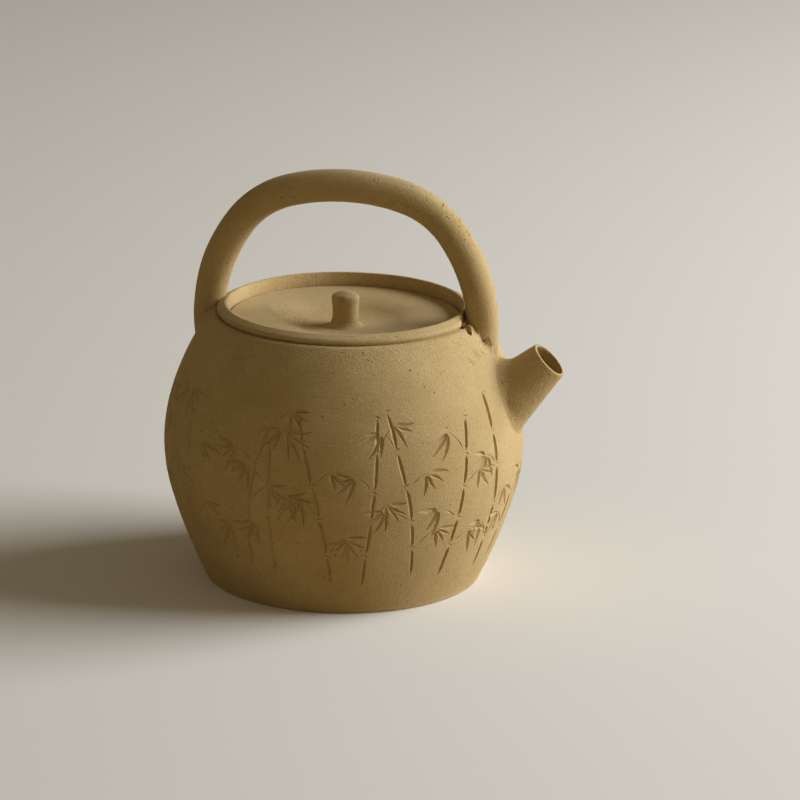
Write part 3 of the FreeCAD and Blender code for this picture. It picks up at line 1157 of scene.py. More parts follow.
@dataclass
class PotBody:
    """Floor, wall and shoulder, which firing has made one continuous skin."""

    face: BodyFace
    shelf: ClayShelf
    wall: float = 3.0 * MM
    floor: float = 3.5 * MM
    foot_round: float = 0.8 * MM
    edge_drop: float = 1.2 * MM
    edge_round: float = 1.7 * MM
    edge_turn_deg: float = 118.0
    moat: float = 1.6 * MM
    moat_depth: float = 0.45 * MM
    row_spacing: float = 1.15 * MM
    inner_spacing: float = 4.0 * MM
    steps: int = 288
    sway: float = 0.22 * MM
    still: float = 8.0 * MM
    skin: float = 1.5 * MM
    foot_flat: float = 0.5 * MM

    def outline(self) -> list[Vector]:
        """The half section from the middle of the base, up outside and down inside to the floor.

        Returns:
            The points, in order.
        """
        foot = self.face.at(self.foot_round).x - self.foot_round
        corner = Arc(section(foot, self.foot_round), self.foot_round, -90.0, 0.0)
        edge_height = self.face.top_height - self.edge_drop
        rows = self.face.rows(self.foot_round, self.row_spacing)
        outer = [point for point in rows if point.z < edge_height]
        turn = self.face.tilt(edge_height)
        centre = self.face.at(edge_height) - heading(turn) * self.edge_round
        outer += Arc(centre, self.edge_round, turn, self.edge_turn_deg).points(0.3 * MM)
        inner = [
            point
            for point in self.face.rows(self.floor, self.inner_spacing, self.wall)[::-1]
            if point.z < outer[-1].z - self.edge_round
        ]
        points = [section(0.0, 0.0), section(foot / 2.0, 0.0)] + corner.points(0.3 * MM)[:-1] + outer
        points += [section(self.face.top_radius - self.moat, outer[-1].z - self.moat_depth)] + inner
        return points + [section(inner[-1].x / 2.0, self.floor), section(0.0, self.floor)]

    def settle(self, piece: bpy.types.Object) -> None:
        """Gives the even skin the gentle waves of a beaten wall, grooves and all.

        Args:
            piece: the carved skin.
        """
        for vert in piece.data.vertices:
            place = vert.co.copy()
            if self.face.clearance(place) < -self.skin or place.z < self.foot_flat:
                continue
            top = self.face.top_height
            hold = ease(place.z, 1.0 * MM, self.still) * ease(place.z, top, top - self.still)
            push = 0.75 * wave(place, 26.0 * MM, 3.0) + 0.25 * wave(place, 9.0 * MM, 8.0)
            vert.co = place + self.face.normal(place) * (push * self.sway * hold)

    def build(self, *openings: Callable[[], bpy.types.Object]) -> None:
        """Makes the skin, opens it, cuts the bamboo and dresses it.

        Args:
            openings: make the cutters of the spout's passage and of the torn gap at the front leg.
        """
        piece = as_piece("pot_body", spun(self.outline(), self.steps))
        for opening in openings:
            cut_away(piece, opening())
        carving = BambooCarving(self.face)
        for strokes in carving.passes():
            cut_away(piece, carving.cutter(strokes))
        self.settle(piece)
        # The second material darkens the knife grooves, partly with painted shade.
        self.shelf.dress(piece, (BELLY_CLAY, CUT_CLAY_AND_SHADE), POT, "base_disc", "body_wall", "shoulder_disc")
        self.shelf.dress_solid("base_seam_lute", SMEARED_CLAY)


@dataclass(frozen=True)
class Smear:
    """Luting clay smeared round the root of a limb, as a closed ring with a hollow flank."""

    face: BodyFace
    limb: Callable[[float, float], Vector]
    inside: float
    outside: float
    rise: Callable[[float], float]
    spread: Callable[[float], float]
    stand_off: Callable[[float], float] = lambda angle: 0.0
    fill: Callable[[float], float] = lambda angle: 0.0
    turns: int = 128
    rows: int = 10
    feather: float = 0.04 * MM
    root: float = 0.9 * MM

    def ring(self, angle: float) -> list[Vector]:
        """The cross-section at an angle round the limb, from its top down to the pot and back inside.

        Args:
            angle: the angle round the limb.

        Returns:
            The points, in order.
        """
        middle = (self.limb(angle, 0.0) + self.limb(angle + math.pi, 0.0)) / 2.0
        start = self.face.met(lambda far: self.limb(angle, far), self.inside, self.outside)
        corner = self.limb(angle, start)
        top = self.limb(angle, start + self.rise(angle))
        out = (self.limb(angle, 0.0) - middle).normalized()
        foot = self.face.laid(corner + out * self.spread(angle), -self.feather)
        top += out * (self.stand_off(angle) - self.feather)
        bend = corner.lerp((top + foot) / 2.0, self.fill(angle))
        flank = [
            top * (1.0 - share) ** 2 + bend * (2.0 * share * (1.0 - share)) + foot * share**2
            for share in (index / self.rows for index in range(self.rows + 1))
        ]
        return flank + [corner - (out + self.face.normal(corner)) * self.root]

    def build(self) -> bmesh.types.BMesh:
        """The ring's mesh: a circle drawn out row by row and joined back to its start.

        Returns:
            The closed mesh.
        """
        bm = bmesh.new()
        bmesh.ops.create_circle(bm, segments=self.turns, radius=1.0)
        rings = [list(bm.verts)]
        edges = list(bm.edges)
        first = edges
        for _ in range(self.rows + 1):
            ring, edges = drawn_out(bm, edges)
            rings.append(ring)
        bmesh.ops.bridge_loops(bm, edges=first + edges)
        angles = [math.atan2(vert.co.y, vert.co.x) for vert in rings[0]]
        for index, angle in enumerate(angles):
            for ring, place in zip(rings, self.ring(angle)):
                ring[index].co = place
        bmesh.ops.recalc_face_normals(bm, faces=bm.faces)
        return bm


@dataclass
class Spout:
    """The short straight spout and the clay round its root."""

    face: BodyFace
    shelf: ClayShelf
    angle_deg: float = 45.0
    drop: float = 24.0 * MM
    length: float = 17.2 * MM
    mouth_radius: float = 6.7 * MM
    root_radius: float = 9.6 * MM
    lip: float = 1.0 * MM
    root_wall: float = 2.2 * MM
    sink: float = 1.2 * MM
    reach: float = 16.0 * MM
    straight_from: float = 0.93
    narrowing: float = 0.1
    steps: int = 96

    @cached_property
    def stand(self) -> Matrix:
        """The turn and place of the spout's axis, from its root outwards.

        Returns:
            The matrix that stands the Z axis on the pot.
        """
        root = self.face.at(self.face.top_height - self.drop)
        turn = Vector((0.0, 0.0, 1.0)).rotation_difference(heading(self.angle_deg))
        return Matrix.Translation(root) @ turn.to_matrix().to_4x4()

    @property
    def bore_root(self) -> float:
        """Radius of the passage at the root."""
        return self.root_radius - self.root_wall

    def outer(self, angle: float, far: float) -> Vector:
        """A place on the outer cone, at an angle round the axis and a distance from the root."""
        radius = self.root_radius + (self.mouth_radius - self.root_radius) * far / self.length
        return self.stand @ Vector((radius * math.cos(angle), radius * math.sin(angle), far))

    def inner(self, angle: float, far: float) -> Vector:
        """A place on the passage's wall, at an angle round the axis and a distance from the root.

        Args:
            angle: the angle round the axis.
            far: the distance from the root.

        Returns:
            The place.
        """
        mouth = self.mouth_radius - self.lip
        radius = self.bore_root + (mouth - self.bore_root) * max(0.0, far) / self.length
        return self.stand @ Vector((radius * math.cos(angle), radius * math.sin(angle), far))

    def bore(self) -> bpy.types.Object:
        """The cutter of the hole in the pot's wall."""
        return as_piece("spout_bore", round_bar(self.bore_root, 2.0 * self.reach, 64, self.stand))

    def tube(self) -> bmesh.types.BMesh:
        """The spout's tube, with its root let a little way into the wall.

        Returns:
            The closed mesh.
        """
        mouth = self.mouth_radius - self.lip
        rows = 20

        def wall(root: float, end: float) -> list[Vector]:
            """The straight line of one wall, from its radius at the root to that at the mouth.

            Args:
                root: the radius at the root.
                end: the radius at the mouth.

            Returns:
                The points, from the root out.
            """
            return [
                section(root + (end - root) * index / rows, self.length * index / rows)
                for index in range(rows + 1)
            ]

        outer = wall(self.root_radius, self.mouth_radius)
        inner = wall(self.bore_root, mouth)
        bm = spun(outer + inner[::-1], self.steps, closed=True)
        soften(bm, width=0.35 * MM, sharper_than_deg=50.0)
        for vert in bm.verts:
            angle = math.atan2(vert.co.y, vert.co.x)
            far = vert.co.z
            if far >= self.length * self.straight_from:
                vert.co = self.stand @ vert.co
                continue
            middle = self.bore_root + self.root_wall / 2.0 - far * self.narrowing
            way = self.outer if vert.co.xy.length > middle else self.inner
            start = self.face.met(lambda at: way(angle, at), -self.reach, self.length) - self.sink
            vert.co = way(angle, start + (self.length - start) * far / self.length)
        bmesh.ops.recalc_face_normals(bm, faces=bm.faces)
        return bm

    def build(self) -> None:
        """Makes and dresses the spout and its smeared root."""
        tube = self.tube()
        uneven(tube, length=9.0 * MM, depth=0.1 * MM, seed=5.0)
        piece = as_piece("spout", tube)
        self.shelf.dress(piece, (SPOUT_CLAY,), POT, "spout")

        def above(angle: float) -> float:
            """How far an angle is turned to the upper side, where more clay is wiped to a crisp edge."""
            return ease(math.cos(angle), 0.15, -0.75)

        def rise(angle: float) -> float:
            """How far the clay climbs the spout."""
            under = 2.6 + 1.6 * ease(math.cos(angle), 0.2, 1.0)
            return (under + 1.7 * above(angle) + 0.3 * math.sin(5.0 * angle)) * MM

        def spread(angle: float) -> float:
            """How far the clay runs out over the pot."""
            under = 1.5 + 0.7 * max(0.0, math.cos(angle))
            return (under + 1.2 * above(angle) + 0.25 * math.sin(7.0 * angle + 1.0)) * MM

        smear = Smear(
            self.face,
            self.outer,
            inside=-self.reach,
            outside=self.length,
            rise=rise,
            spread=spread,
            fill=lambda angle: 0.55 * above(angle),
        ).build()
        uneven(smear, length=5.0 * MM, depth=0.12 * MM, seed=6.0)
        self.shelf.dress(as_piece("spout_lute", smear), (SPOUT_ROOT_CLAY,), POT, "spout_lute")
        self.shelf.dress_solid("spout_strainer", BELLY_CLAY)


@dataclass
class Handle:
    """The round coil that arches over the lid, with the clay smeared round its two roots."""

    face: BodyFace
    shelf: ClayShelf
    apex: float
    half_span: float
    rod: float = 5.25 * MM
    top_excess: float = 22.8 * MM
    top_deg: float = 16.0
    shoulder_cut: float = 15.0 * MM
    shoulder_deg: float = 52.5
    leg_start_deg: float = 8.0
    leg_reach: float = 22.0 * MM
    nick_deg: float = 52.3
    nick_lean_deg: float = -21.0
    nick_turn: float = 0.0
    nick_size: tuple[float, float, float] = (0.36 * MM, 1.5 * MM, 0.6 * MM)
    pit_size: tuple[float, float, float] = (0.26 * MM, 0.42 * MM, 0.26 * MM)
    pit_count: int = 14
    pit_gap_deg: float = 3.0
    pit_span_deg: float = 20.0
    pit_seed: int = 5
    sink: float = 1.2 * MM
    segments: int = 48
    spacing: float = 1.2 * MM

    @cached_property
    def arcs(self) -> tuple[Arc, Arc, Arc]:
        """The arcs of the front half from its leg up to the top, by angle above +X.

        Returns:
            Leg, shoulder and top.
        """
        top_radius = self.half_span + self.top_excess
        shoulder_radius = self.half_span - self.shoulder_cut
        sin_top = math.sin(math.radians(self.top_deg))
        sin_shoulder = math.sin(math.radians(self.shoulder_deg))
        reach = top_radius * sin_top + shoulder_radius * (sin_shoulder - sin_top)
        leg_radius = (self.half_span - reach) / (1.0 - sin_shoulder)
        top_centre = section(0.0, self.apex - top_radius)
        shoulder_centre = top_centre + heading(90.0 - self.top_deg) * (top_radius - shoulder_radius)
        leg_centre = shoulder_centre + heading(90.0 - self.shoulder_deg) * (shoulder_radius - leg_radius)
        return (
            Arc(leg_centre, leg_radius, self.leg_start_deg, 90.0 - self.shoulder_deg),
            Arc(shoulder_centre, shoulder_radius, 90.0 - self.shoulder_deg, 90.0 - self.top_deg),
            Arc(top_centre, top_radius, 90.0 - self.top_deg, 90.0),
        )

    def leg(self, angle: float, far: float) -> Vector:
        """A place on the front leg, at an angle round it and a distance above the top of the shoulder.

        Args:
            angle: the angle round the leg.
            far: the distance above the shoulder's top.

        Returns:
            The place.
        """
        arc = self.arcs[0]
        height = self.face.top_height + far
        middle = arc.centre.x + math.sqrt(arc.radius**2 - (height - arc.centre.z) ** 2)
        return Vector((middle + self.rod * math.cos(angle), self.rod * math.sin(angle), height))

    def coil(self) -> bmesh.types.BMesh:
        """The coil: a ring spun along each arc in turn, with its two ends drawn down into the shoulder.

        Returns:
            The closed mesh.
        """
        bm = bmesh.new()
        leg = self.arcs[0]
        turn = Matrix.Rotation(-math.radians(leg.start_deg), 4, "Y")
        place = Matrix.Translation(leg.at(leg.start_deg)) @ turn
        bmesh.ops.create_circle(bm, segments=self.segments, radius=self.rod, matrix=place)
        ring = list(bm.verts) + list(bm.edges)
        self.draw_down(bm, list(bm.verts), list(bm.edges), 1.0)
        rear = [arc.mirrored() for arc in self.arcs]
        for arc in list(self.arcs) + rear[::-1]:
            steps = max(4, round(math.radians(arc.end_deg - arc.start_deg) * arc.radius / self.spacing))
            ring = bmesh.ops.spin(
                bm,
                geom=ring,
                cent=arc.centre,
                axis=(0.0, -1.0, 0.0),
                angle=math.radians(arc.end_deg - arc.start_deg),
                steps=steps,
            )["geom_last"]
        self.draw_down(bm, points_in(ring), edges_in(ring), -1.0)
        bmesh.ops.remove_doubles(bm, verts=bm.verts, dist=SEAM)
        bmesh.ops.holes_fill(bm, edges=bm.edges, sides=0)
        bmesh.ops.recalc_face_normals(bm, faces=bm.faces)
        return bm

    def draw_down(
        self,
        bm: bmesh.types.BMesh,
        verts: list[bmesh.types.BMVert],
        edges: list[bmesh.types.BMEdge],
        side: float,
    ) -> None:
        """Draws an end ring of the coil down until all of it is let into the shoulder.

        Args:
            bm: the coil's mesh.
            verts: the end ring's points.
            edges: the end ring's edges.
            side: 1 at the front root, -1 at the rear root.
        """
        rows = 12
        arc = self.arcs[0]
        starts = {vert: vert.co.copy() for vert in verts}
        for row in range(rows):
            fresh, edges = drawn_out(bm, edges)
            starts = {new: starts[old] for new, old in zip(fresh, starts)}
            for vert in fresh:
                start = starts[vert]

                def fall(height: float) -> Vector:
                    """The place at a height on the leg's curve below the start.

                    Args:
                        height: a height above the table.

                    Returns:
                        The place.
                    """
                    lean = math.sqrt(arc.radius**2 - (height - arc.centre.z) ** 2) - math.sqrt(
                        arc.radius**2 - (start.z - arc.centre.z) ** 2
                    )
                    return Vector((start.x + side * lean, start.y, height))

                bottom = self.face.met(fall, self.face.top_height - self.leg_reach, start.z) - self.sink
                vert.co = fall(start.z + (bottom - start.z) * (row + 1) / rows)

    def build(self) -> None:
        """Makes and dresses the coil and the clay at its roots."""
        coil = self.coil()
        uneven(coil, length=16.0 * MM, depth=0.2 * MM, seed=11.0)
        uneven(coil, length=5.0 * MM, depth=0.05 * MM, seed=12.0)
        piece = as_piece("handle_bow", coil)
        cut_away(piece, self.nick())
        self.shelf.dress(piece, (COIL_CLAY,), POT, "handle_bow")
        for name, side, seed in (("front_handle_lute", 1.0, 1.0), ("rear_handle_lute", -1.0, 4.0)):
            self.shelf.dress(self.root_clay(name, side, seed), (SMEARED_CLAY,), POT, name)

    def nick(self) -> bpy.types.Object:
        """The cutter of the short nick and the few pits on the near side of the front shoulder.

        Returns:
            The cutter.
        """
        bm = bmesh.new()
        arc = self.arcs[1]
        chance = random.Random(self.pit_seed)
        marks = [(self.nick_deg, self.nick_lean_deg, self.nick_size)]
        first_pit = self.nick_deg - self.pit_gap_deg
        for index in range(self.pit_count):
            degrees = first_pit - self.pit_span_deg * (index + chance.random()) / self.pit_count
            marks.append((degrees, self.nick_lean_deg * chance.uniform(0.4, 2.4), self.pit_size))
        for degrees, lean_deg, size in marks:
            along = arc.at(degrees + 90.0) - arc.centre
            out = Matrix.Rotation(math.radians(lean_deg), 3, along) @ heading(degrees)
            place = Matrix.Translation(arc.at(degrees) + out * self.rod)
            turn = Vector((0.0, 0.0, 1.0)).rotation_difference(out).to_matrix().to_4x4()
            shape = place @ turn @ Matrix.Rotation(self.nick_turn, 4, "Z") @ Matrix.Diagonal((*size, 1.0))
            bmesh.ops.create_icosphere(bm, subdivisions=3, radius=1.0, matrix=shape)
        uneven(bm, length=0.8 * MM, depth=0.1 * MM, seed=13.0)
        return as_piece("handle_nick", bm)

    def root_clay(self, name: str, side: float, seed: float) -> bpy.types.Object:
        """The clay at one root, thin inside the collar and wide on the outer side.

        Args:
            name: the piece's name.
            side: 1 at the front root, -1 at the rear root.
            seed: chooses how ragged edges run.

        Returns:
            The finished piece.
        """

        def ragged(angle: float) -> float:
            """How the torn edge comes and goes round the leg."""
            place = Vector((math.cos(angle), math.sin(angle), seed))
            return max(0.1, 1.0 + 1.3 * wave(place, 0.34, seed) + 0.7 * wave(place, 0.13, seed + 2.0))

        def outer(angle: float) -> float:
            """How far an angle is turned away from the collar, from 0 to 1."""
            return ease(math.cos(angle), -0.6, 0.1)

        def torn(angle: float) -> float:
            """How much the clay is torn off the leg: on the near side of the front root alone."""
            return ease(-math.sin(angle), 0.25, 0.75) * outer(angle) if side > 0 else 0.0

        def rise(angle: float) -> float:
            """How far the clay climbs the leg."""
            return (0.3 + (0.7 + 1.7 * torn(angle)) * outer(angle) * ragged(angle)) * MM

        def spread(angle: float) -> float:
            """How far the clay runs out over the shoulder."""
            fray = 0.6 + 0.4 * ragged(angle + 2.0)
            return (0.2 + (1.1 + 2.6 * torn(angle)) * outer(angle) * fray) * MM

        bm = Smear(
            self.face,
            self.leg,
            inside=-20.0 * MM,
            outside=6.0 * MM,
            rise=rise,
            spread=spread,
            stand_off=lambda angle: 0.75 * MM * torn(angle) * ragged(angle + 1.0),
        ).build()
        uneven(bm, length=3.0 * MM, depth=0.12 * MM, seed=seed)
        if side < 0:
            bmesh.ops.rotate(bm, verts=bm.verts, cent=(0, 0, 0), matrix=Matrix.Rotation(math.pi, 3, "Z"))
        return as_piece(name, bm)


@dataclass
class MouthCollar:
    """The neck ring with its thin rim and bevelled band, cut away for the two legs of the handle."""

    face: BodyFace
    shelf: ClayShelf
    rim_height: float
    leg_place: float
    leg_radius: float
    width: float = 4.3 * MM
    band_inset: float = 0.95 * MM
    rim_lip: float = 0.8 * MM
    band_face: float = 0.9 * MM
    band_round: float = 0.6 * MM
    groove: float = 0.6 * MM
    let_in: float = 1.0 * MM
    notch_depth: float = 4.2 * MM
    notch_drop: float = 0.6 * MM
    seat_drop: float = 7.4 * MM
    wall: float = 3.08 * MM
    crevice_deg: float = -11.8
    crevice_lean_deg: float = -22.0
    crevice_inset: float = 0.6 * MM
    crevice_drop: float = 0.4 * MM
    crevice_size: tuple[float, float, float] = (3.0 * MM, 2.1 * MM, 4.5 * MM)
    steps: int = 240

    @property
    def neck(self) -> float:
        """Inner radius of the neck."""
        return self.face.top_radius - self.width

    def outline(self) -> list[Vector]:
        """The closed half section of the collar.

        Returns:
            The points, in order.
        """
        top = self.face.top_height
        band = self.face.top_radius - self.band_inset
        seat = self.rim_height - self.seat_drop
        bevel = self.neck + self.rim_lip
        low = top - self.let_in
        return [
            section(self.neck, seat),
            section(self.neck, seat + self.seat_drop / 2.0),
            section(self.neck, self.rim_height),
            section(bevel, self.rim_height),
            section(band - self.band_round / 2.0, top + self.band_face + self.band_round),
            section(band, top + self.band_face),
            section(band, top + self.band_face - self.band_round),
            section(band - self.groove, top - self.let_in / 2.0),
            section(band - self.groove, low),
            section(self.face.at(low, self.wall).x, low),
            section(self.face.at(seat, self.wall).x, seat),
        ]

    def notch(self, side: float, gap: float, aside: float, seed: float) -> bpy.types.Object:
        """The ragged cutter that opens the collar for one leg.

        Args:
            side: 1 at the front leg, -1 at the rear leg.
            gap: the room left round the leg.
            aside: how far the cut is wider towards -Y.
            seed: chooses how the torn edge runs.

        Returns:
            The cutter.
        """
        place = Matrix.Translation((side * self.leg_place, -aside, self.rim_height - self.notch_drop))
        bm = round_bar(self.leg_radius + gap, self.notch_depth, 72, place)
        walls = [edge for edge in bm.edges if abs(edge.verts[0].co.z - edge.verts[1].co.z) > 1.0 * MM]
        bmesh.ops.subdivide_edges(bm, edges=walls, cuts=9, use_grid_fill=True)
        uneven(bm, length=1.5 * MM, depth=0.4 * gap, seed=seed)
        return as_piece("collar_notch", bm)

    def crevice(self) -> bpy.types.Object:
        """The ragged cutter of the torn gap between the collar's end and the front leg.

        Returns:
            The cutter.
        """
        bm = bmesh.new()
        bmesh.ops.create_icosphere(bm, subdivisions=5, radius=1.0)
        turn = math.radians(self.crevice_deg)
        middle = Matrix.Rotation(turn, 4, "Z") @ Matrix.Translation(
            (self.face.top_radius - self.crevice_inset, 0.0, self.face.top_height - self.crevice_drop)
        )
        lean = Matrix.Rotation(math.radians(self.crevice_lean_deg), 4, "X")
        size = Matrix.Diagonal((*self.crevice_size, 1.0))
        bmesh.ops.transform(bm, verts=bm.verts, matrix=middle @ lean @ size)
        uneven(bm, length=1.3 * MM, depth=0.7 * MM, seed=7.0)
        return as_piece("collar_crevice", bm)

    def build(self) -> None:
        """Makes and dresses the collar and the ledge under it."""
        bm = spun(self.outline(), self.steps, closed=True)
        soften(bm, width=0.16 * MM)
        for vert in bm.verts:
            share = ease(vert.co.z, self.face.top_height, self.rim_height)
            vert.co.z += 0.12 * MM * share * wave(vert.co, 24.0 * MM, 21.0)
        uneven(bm, length=6.0 * MM, depth=0.05 * MM, seed=22.0)
        piece = as_piece("mouth_collar", bm)
        cut_away(piece, self.notch(side=1.0, gap=0.9 * MM, aside=0.0, seed=1.0))
        cut_away(piece, self.notch(side=1.0, gap=1.0 * MM, aside=3.3 * MM, seed=3.0))
        cut_away(piece, self.notch(side=-1.0, gap=0.5 * MM, aside=0.0, seed=2.0))
        cut_away(piece, self.crevice())
        self.shelf.dress(piece, (COIL_CLAY,), POT, "mouth_collar")
        self.shelf.dress_solid("lid_seat_ring", COIL_CLAY)


@dataclass
class Lid:
    """The sunken lid: a dished plate, its post knob and the clay at the knob's foot."""

    shelf: ClayShelf
    radius: float
    top: float
    thickness: float = 3.0 * MM
    edge_round: float = 0.6 * MM
    rim_width: float = 9.1 * MM
    dish_depth: float = 3.4 * MM
    dish_flat: float = 7.0 * MM
    dish_thickness: float = 2.6 * MM
    dish_spacing: float = 0.36 * MM
    under_spacing: float = 4.0 * MM
    under_radius: float = 29.9 * MM
    knob_foot: float = 4.6 * MM
    knob_waist: float = 4.25 * MM
    knob_top: float = 4.5 * MM
    knob_height: float = 11.6 * MM
    knob_edge: float = 1.45 * MM
    knob_crown: float = 0.75 * MM
    knob_sink: float = 0.3 * MM
    lute: float = 2.0 * MM
    lute_root: float = 0.6 * MM
    post_feather: float = 0.1 * MM
    plate_feather: float = 0.08 * MM
    vent_radius: float = 0.8 * MM
    vent_gap: float = 3.0 * MM
    swirl: float = 0.22 * MM
    crest: float = 0.2 * MM
    crest_width: float = 3.0 * MM
    crest_start_deg: float = 165.0
    crest_end_deg: float = 240.0
    steps: int = 240

    @property
    def dish_top(self) -> float:
        """Height of the dish's middle."""
        return self.top - self.dish_depth

    @staticmethod
    def dish(rim: float, flat: float, high: float, low: float, spacing: float) -> list[Vector]:
        """Points of the two equal arcs that lead from a flat middle up to a flat rim.

        Args:
            rim: radius at which the rim starts.
            flat: radius at which the middle ends.
            high: the rim's height.
            low: the middle's height.
            spacing: the most between two points.

        Returns:
            The points from the middle out.
        """
        run, climb = rim - flat, high - low
        turn = 2.0 * math.degrees(math.atan2(climb, run))
        radius = run / (2.0 * math.sin(math.radians(turn)))
        hollow = Arc(section(flat, low + radius), radius, 270.0, 270.0 + turn)
        crest = Arc(section(rim, high - radius), radius, 90.0 + turn, 90.0)
        return hollow.points(spacing) + crest.points(spacing)[1:]

    def plate(self) -> bpy.types.Object:
        """The plate with its finger-swirled dish and its vent hole.

        Returns:
            The plate, not yet dressed.
        """
        under = self.dish_top - self.dish_thickness
        seat = self.top - self.thickness
        dish_rim = self.radius - self.rim_width
        middle = [section(self.dish_flat * index / 8.0, self.dish_top) for index in range(8)]
        flat = self.rim_width - self.edge_round
        rim = [section(dish_rim + flat * index / 8.0, self.top) for index in range(1, 9)]
        corner = section(self.radius - self.edge_round, self.top - self.edge_round)
        edge = Arc(corner, self.edge_round, 90.0, 0.0)
        hollow = self.dish(dish_rim, self.dish_flat, self.top, self.dish_top, self.dish_spacing)
        outline = middle + hollow + rim
        outline += edge.points(0.25 * MM)[1:]
        outline += [section(self.radius, seat), section(self.under_radius, seat)]
        outline += self.dish(self.under_radius, self.dish_flat, seat, under, self.under_spacing)[::-1][1:]
        outline += [section(0.0, under)]
        bm = spun(outline, self.steps)
        for vert in bm.verts:
            if vert.co.z > seat + 0.5 * MM or vert.co.z > under + 1.2 * MM and vert.co.xy.length < dish_rim:
                vert.co.z += self.swirl_at(vert.co, dish_rim)
        piece = as_piece("lid_disc", bm)
        place = Matrix.Translation((0.0, self.knob_foot + self.lute + self.vent_gap, self.dish_top))
        vent = round_bar(self.vent_radius, 4.0 * self.thickness, 24, place)
        cut_away(piece, as_piece("vent", vent))
        return piece

    def swirl_at(self, place: Vector, dish_rim: float) -> float:
        """How far the potter's finger raised or lowered the dish at a place.

        Args:
            place: a place on the dish.
            dish_rim: the radius at which the rim starts.

        Returns:
            The rise, below 0 where it is lowered.
        """
        radius = place.xy.length
        if radius < 1.0 * MM:
            return 0.0
        angle = math.atan2(place.y, place.x)
        window = ease(radius, self.knob_foot + 1.0 * MM, 11.0 * MM)
        window *= ease(radius, dish_rim + 3.0 * MM, dish_rim - 6.0 * MM)
        twist = 2.9 * math.log(radius / self.knob_foot)
        arm = -math.cos(angle - twist + 0.9) - 0.35 * math.cos(2.0 * angle - 2.4 * twist)
        left = (0.5 - 0.5 * math.cos(angle)) ** 2
        left *= 0.55 + 0.9 * wave(place, 7.0 * MM, 33.0)
        ripple = 0.3 * left * math.sin(radius / (0.26 * MM) + 2.0 * angle)
        sway = 0.25 * wave(place, 9.0 * MM, 31.0)
        share = (dish_rim - radius) / (dish_rim - self.knob_foot)
        sweep = self.crest_end_deg - self.crest_start_deg
        path = math.radians(self.crest_start_deg + sweep * share)
        aside = ((angle - path + math.pi) % math.tau - math.pi) * radius
        crest = self.crest * math.exp(-((aside / self.crest_width) ** 2))
        return window * (self.swirl * (0.55 * arm + ripple + sway) + crest)

    def knob(self) -> bmesh.types.BMesh:
        """The knob: a waisted, slightly lumpy post with a soft crown.

        Returns:
            The closed mesh.
        """
        base = self.dish_top - self.knob_sink
        top = self.dish_top + self.knob_height
        shank_end = top - self.knob_crown - self.knob_edge
        rows = 14
        shank = []
        for index in range(rows + 1):
            share = index / rows
            waist = self.knob_foot + (self.knob_top - self.knob_foot) * share
            waist -= (self.knob_foot - self.knob_waist) * math.sin(math.pi * share)
            shank.append(section(waist, base + (shank_end - base) * share))
        corner = Arc(section(self.knob_top - self.knob_edge, shank_end), self.knob_edge, 0.0, 90.0)
        flat = self.knob_top - self.knob_edge
        crown_radius = (flat**2 + self.knob_crown**2) / (2.0 * self.knob_crown)
        crown_deg = math.degrees(math.acos(flat / crown_radius))
        crown = Arc(section(0.0, top - crown_radius), crown_radius, crown_deg, 90.0)
        top_edge = corner.points(0.35 * MM)[1:] + crown.points(0.6 * MM)[1:]
        bm = spun([section(0.0, base)] + shank + top_edge, 64)
        uneven(bm, length=5.0 * MM, depth=0.12 * MM, seed=47.0)
        uneven(bm, length=1.6 * MM, depth=0.05 * MM, seed=42.0)
        return bm

    def foot_clay(self) -> bmesh.types.BMesh:
        """The flared fillet round the knob's foot, feathered into plate and post.

        Returns:
            The closed mesh.
        """
        hollow = Arc(
            section(self.knob_foot + self.lute, self.dish_top + self.lute), self.lute, 180.0, 270.0
        ).points(0.3 * MM)
        hollow[0].x -= self.post_feather
        hollow[-1].z -= self.plate_feather
        root = section(self.knob_foot - self.lute_root, self.dish_top - self.lute_root)
        bm = spun(hollow + [root], 96, closed=True)
        uneven(bm, length=3.0 * MM, depth=0.08 * MM, seed=43.0)
        return bm

    def build(self) -> None:
        """Makes and dresses the lid's pieces."""
        self.shelf.dress(self.plate(), (LID_CLAY,), LID, "lid_disc")
        self.shelf.dress(as_piece("lid_knob", self.knob()), (LID_CLAY,), LID, "lid_knob")
        self.shelf.dress(as_piece("knob_lute", self.foot_clay()), (KNOB_FOOT_CLAY,), LID, "knob_lute")
        self.shelf.dress_solid("lid_flange", LID_CLAY)


@dataclass(frozen=True)
class Lamp:
    """One soft square lamp."""

    name: str
    place: tuple[float, float, float]
    size: float
    power: float
    colour: tuple[float, float, float]


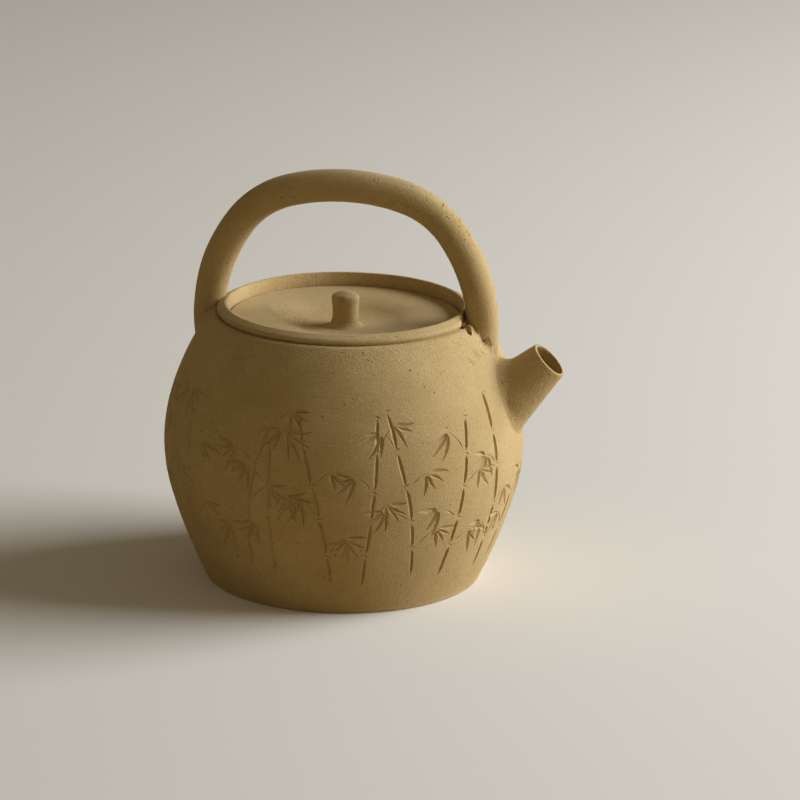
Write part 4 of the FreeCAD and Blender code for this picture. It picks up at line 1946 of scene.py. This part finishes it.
@dataclass
class Studio:
    """Floor, lamps, sky and the camera at the photograph's viewing angle."""

    aim_height: float = 41.5 * MM
    distance: float = 1383.7 * MM
    elevation_deg: float = 17.112
    azimuth_deg: float = 12.64
    look_down_deg: float = 16.434
    look_aside_deg: float = 0.789
    roll_deg: float = 0.812
    lens: float = 189.0
    sensor: float = 36.0
    floor_size: float = 14.0
    floor_colour: Colour = (0.89, 0.86, 0.8, 1.0)
    floor_bounce: Colour = (0.5, 0.4, 0.23, 1.0)
    sky_colour: Colour = (0.82, 0.79, 0.73, 1.0)
    sky_glow: Colour = (0.95, 0.77, 0.46, 1.0)
    sky_light: float = 0.14
    lamps: tuple[Lamp, ...] = (
        Lamp("window", place=(1.5, 0.5, 0.72), size=1.3, power=46.0, colour=(0.93, 0.96, 1.0)),
        Lamp("room", place=(-0.9, -1.7, 1.5), size=1.6, power=2.0, colour=(1.0, 0.9, 0.76)),
    )

    def camera(self) -> None:
        """Places the camera so that the pot falls where the photograph has it."""
        lens = bpy.data.cameras.new("camera")
        lens.lens = self.lens
        lens.sensor_width = self.sensor
        lens.sensor_fit = "HORIZONTAL"
        lens.clip_end = 40.0
        camera = bpy.data.objects.new("camera", lens)
        turn = math.radians(self.azimuth_deg)
        lift = math.radians(self.elevation_deg)
        away = Vector((math.sin(turn) * math.cos(lift), -math.cos(turn) * math.cos(lift), math.sin(lift)))
        look = (
            Matrix.Rotation(math.radians(self.azimuth_deg - self.look_aside_deg), 4, "Z")
            @ Matrix.Rotation(math.radians(90.0 - self.look_down_deg), 4, "X")
            @ Matrix.Rotation(math.radians(self.roll_deg), 4, "Z")
        )
        stand = Vector((0.0, 0.0, self.aim_height)) + away * self.distance
        camera.matrix_world = Matrix.Translation(stand) @ look
        bpy.context.scene.collection.objects.link(camera)
        bpy.context.scene.camera = camera

    def floor(self) -> None:
        """Lays the plain pale floor."""
        bm = bmesh.new()
        bmesh.ops.create_grid(bm, x_segments=2, y_segments=2, size=self.floor_size / 2.0)
        floor = as_piece("floor", bm)
        material = bpy.data.materials.new("pale_floor")
        material.use_nodes = True
        surface = material.node_tree.nodes["Principled BSDF"]
        sheet = NodeSheet(material.node_tree)
        seen = sheet.add("ShaderNodeLightPath").outputs["Is Camera Ray"]
        colour = sheet.blend(seen, self.floor_bounce, self.floor_colour)
        sheet.tree.links.new(colour, surface.inputs["Base Color"])
        surface.inputs["Roughness"].default_value = 0.9
        floor.data.materials.append(material)

    def sky(self) -> None:
        """Lights the room evenly, and shows a pale sky to the camera."""
        world = bpy.data.worlds.new("room")
        world.use_nodes = True
        world.node_tree.nodes.clear()
        sheet = NodeSheet(world.node_tree)
        path = sheet.add("ShaderNodeLightPath").outputs
        light = sheet.add("ShaderNodeBackground", {"Color": self.sky_glow, "Strength": self.sky_light})
        seen = sheet.add("ShaderNodeBackground", {"Color": self.sky_colour, "Strength": 1.0})
        mix = sheet.add(
            "ShaderNodeMixShader", {0: path["Is Camera Ray"], 1: light.outputs[0], 2: seen.outputs[0]}
        )
        sheet.add("ShaderNodeOutputWorld", {"Surface": mix.outputs[0]})
        bpy.context.scene.world = world

    def build(self) -> None:
        """Sets up the whole studio."""
        self.camera()
        self.floor()
        self.sky()
        for lamp in self.lamps:
            light = bpy.data.lights.new(lamp.name, "AREA")
            light.energy = lamp.power
            light.size = lamp.size
            light.color = lamp.colour
            stand = bpy.data.objects.new(lamp.name, light)
            stand.location = lamp.place
            aim = Vector((0.0, 0.0, self.aim_height)) - stand.location
            stand.rotation_euler = aim.to_track_quat("-Z", "Y").to_euler()
            bpy.context.scene.collection.objects.link(stand)
        bpy.context.scene.view_settings.view_transform = "Standard"
        LOG.info("studio: %d lamps", len(self.lamps))


def main() -> None:
    """Builds the teapot's pieces in order, then the studio."""
    logging.basicConfig(level=logging.INFO, format="%(message)s")
    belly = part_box("body_wall")[1].x
    shoulder_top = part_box("shoulder_disc")[1].z
    rim_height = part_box("mouth_collar")[1].z
    lid_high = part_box("lid_disc")[1]
    handle_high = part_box("handle_bow")[1]
    face = BodyFace(belly, shoulder_top)
    shelf = ClayShelf()
    spout = Spout(face, shelf)
    handle = Handle(face, shelf, handle_high.z - Handle.rod, handle_high.x - Handle.rod)
    collar = MouthCollar(face, shelf, rim_height, handle.half_span, handle.rod)
    PotBody(face, shelf).build(spout.bore, collar.crevice)
    spout.build()
    collar.build()
    handle.build()
    Lid(shelf, lid_high.x, lid_high.z).build()
    Studio().build()


if __name__ == "__main__":
    main()
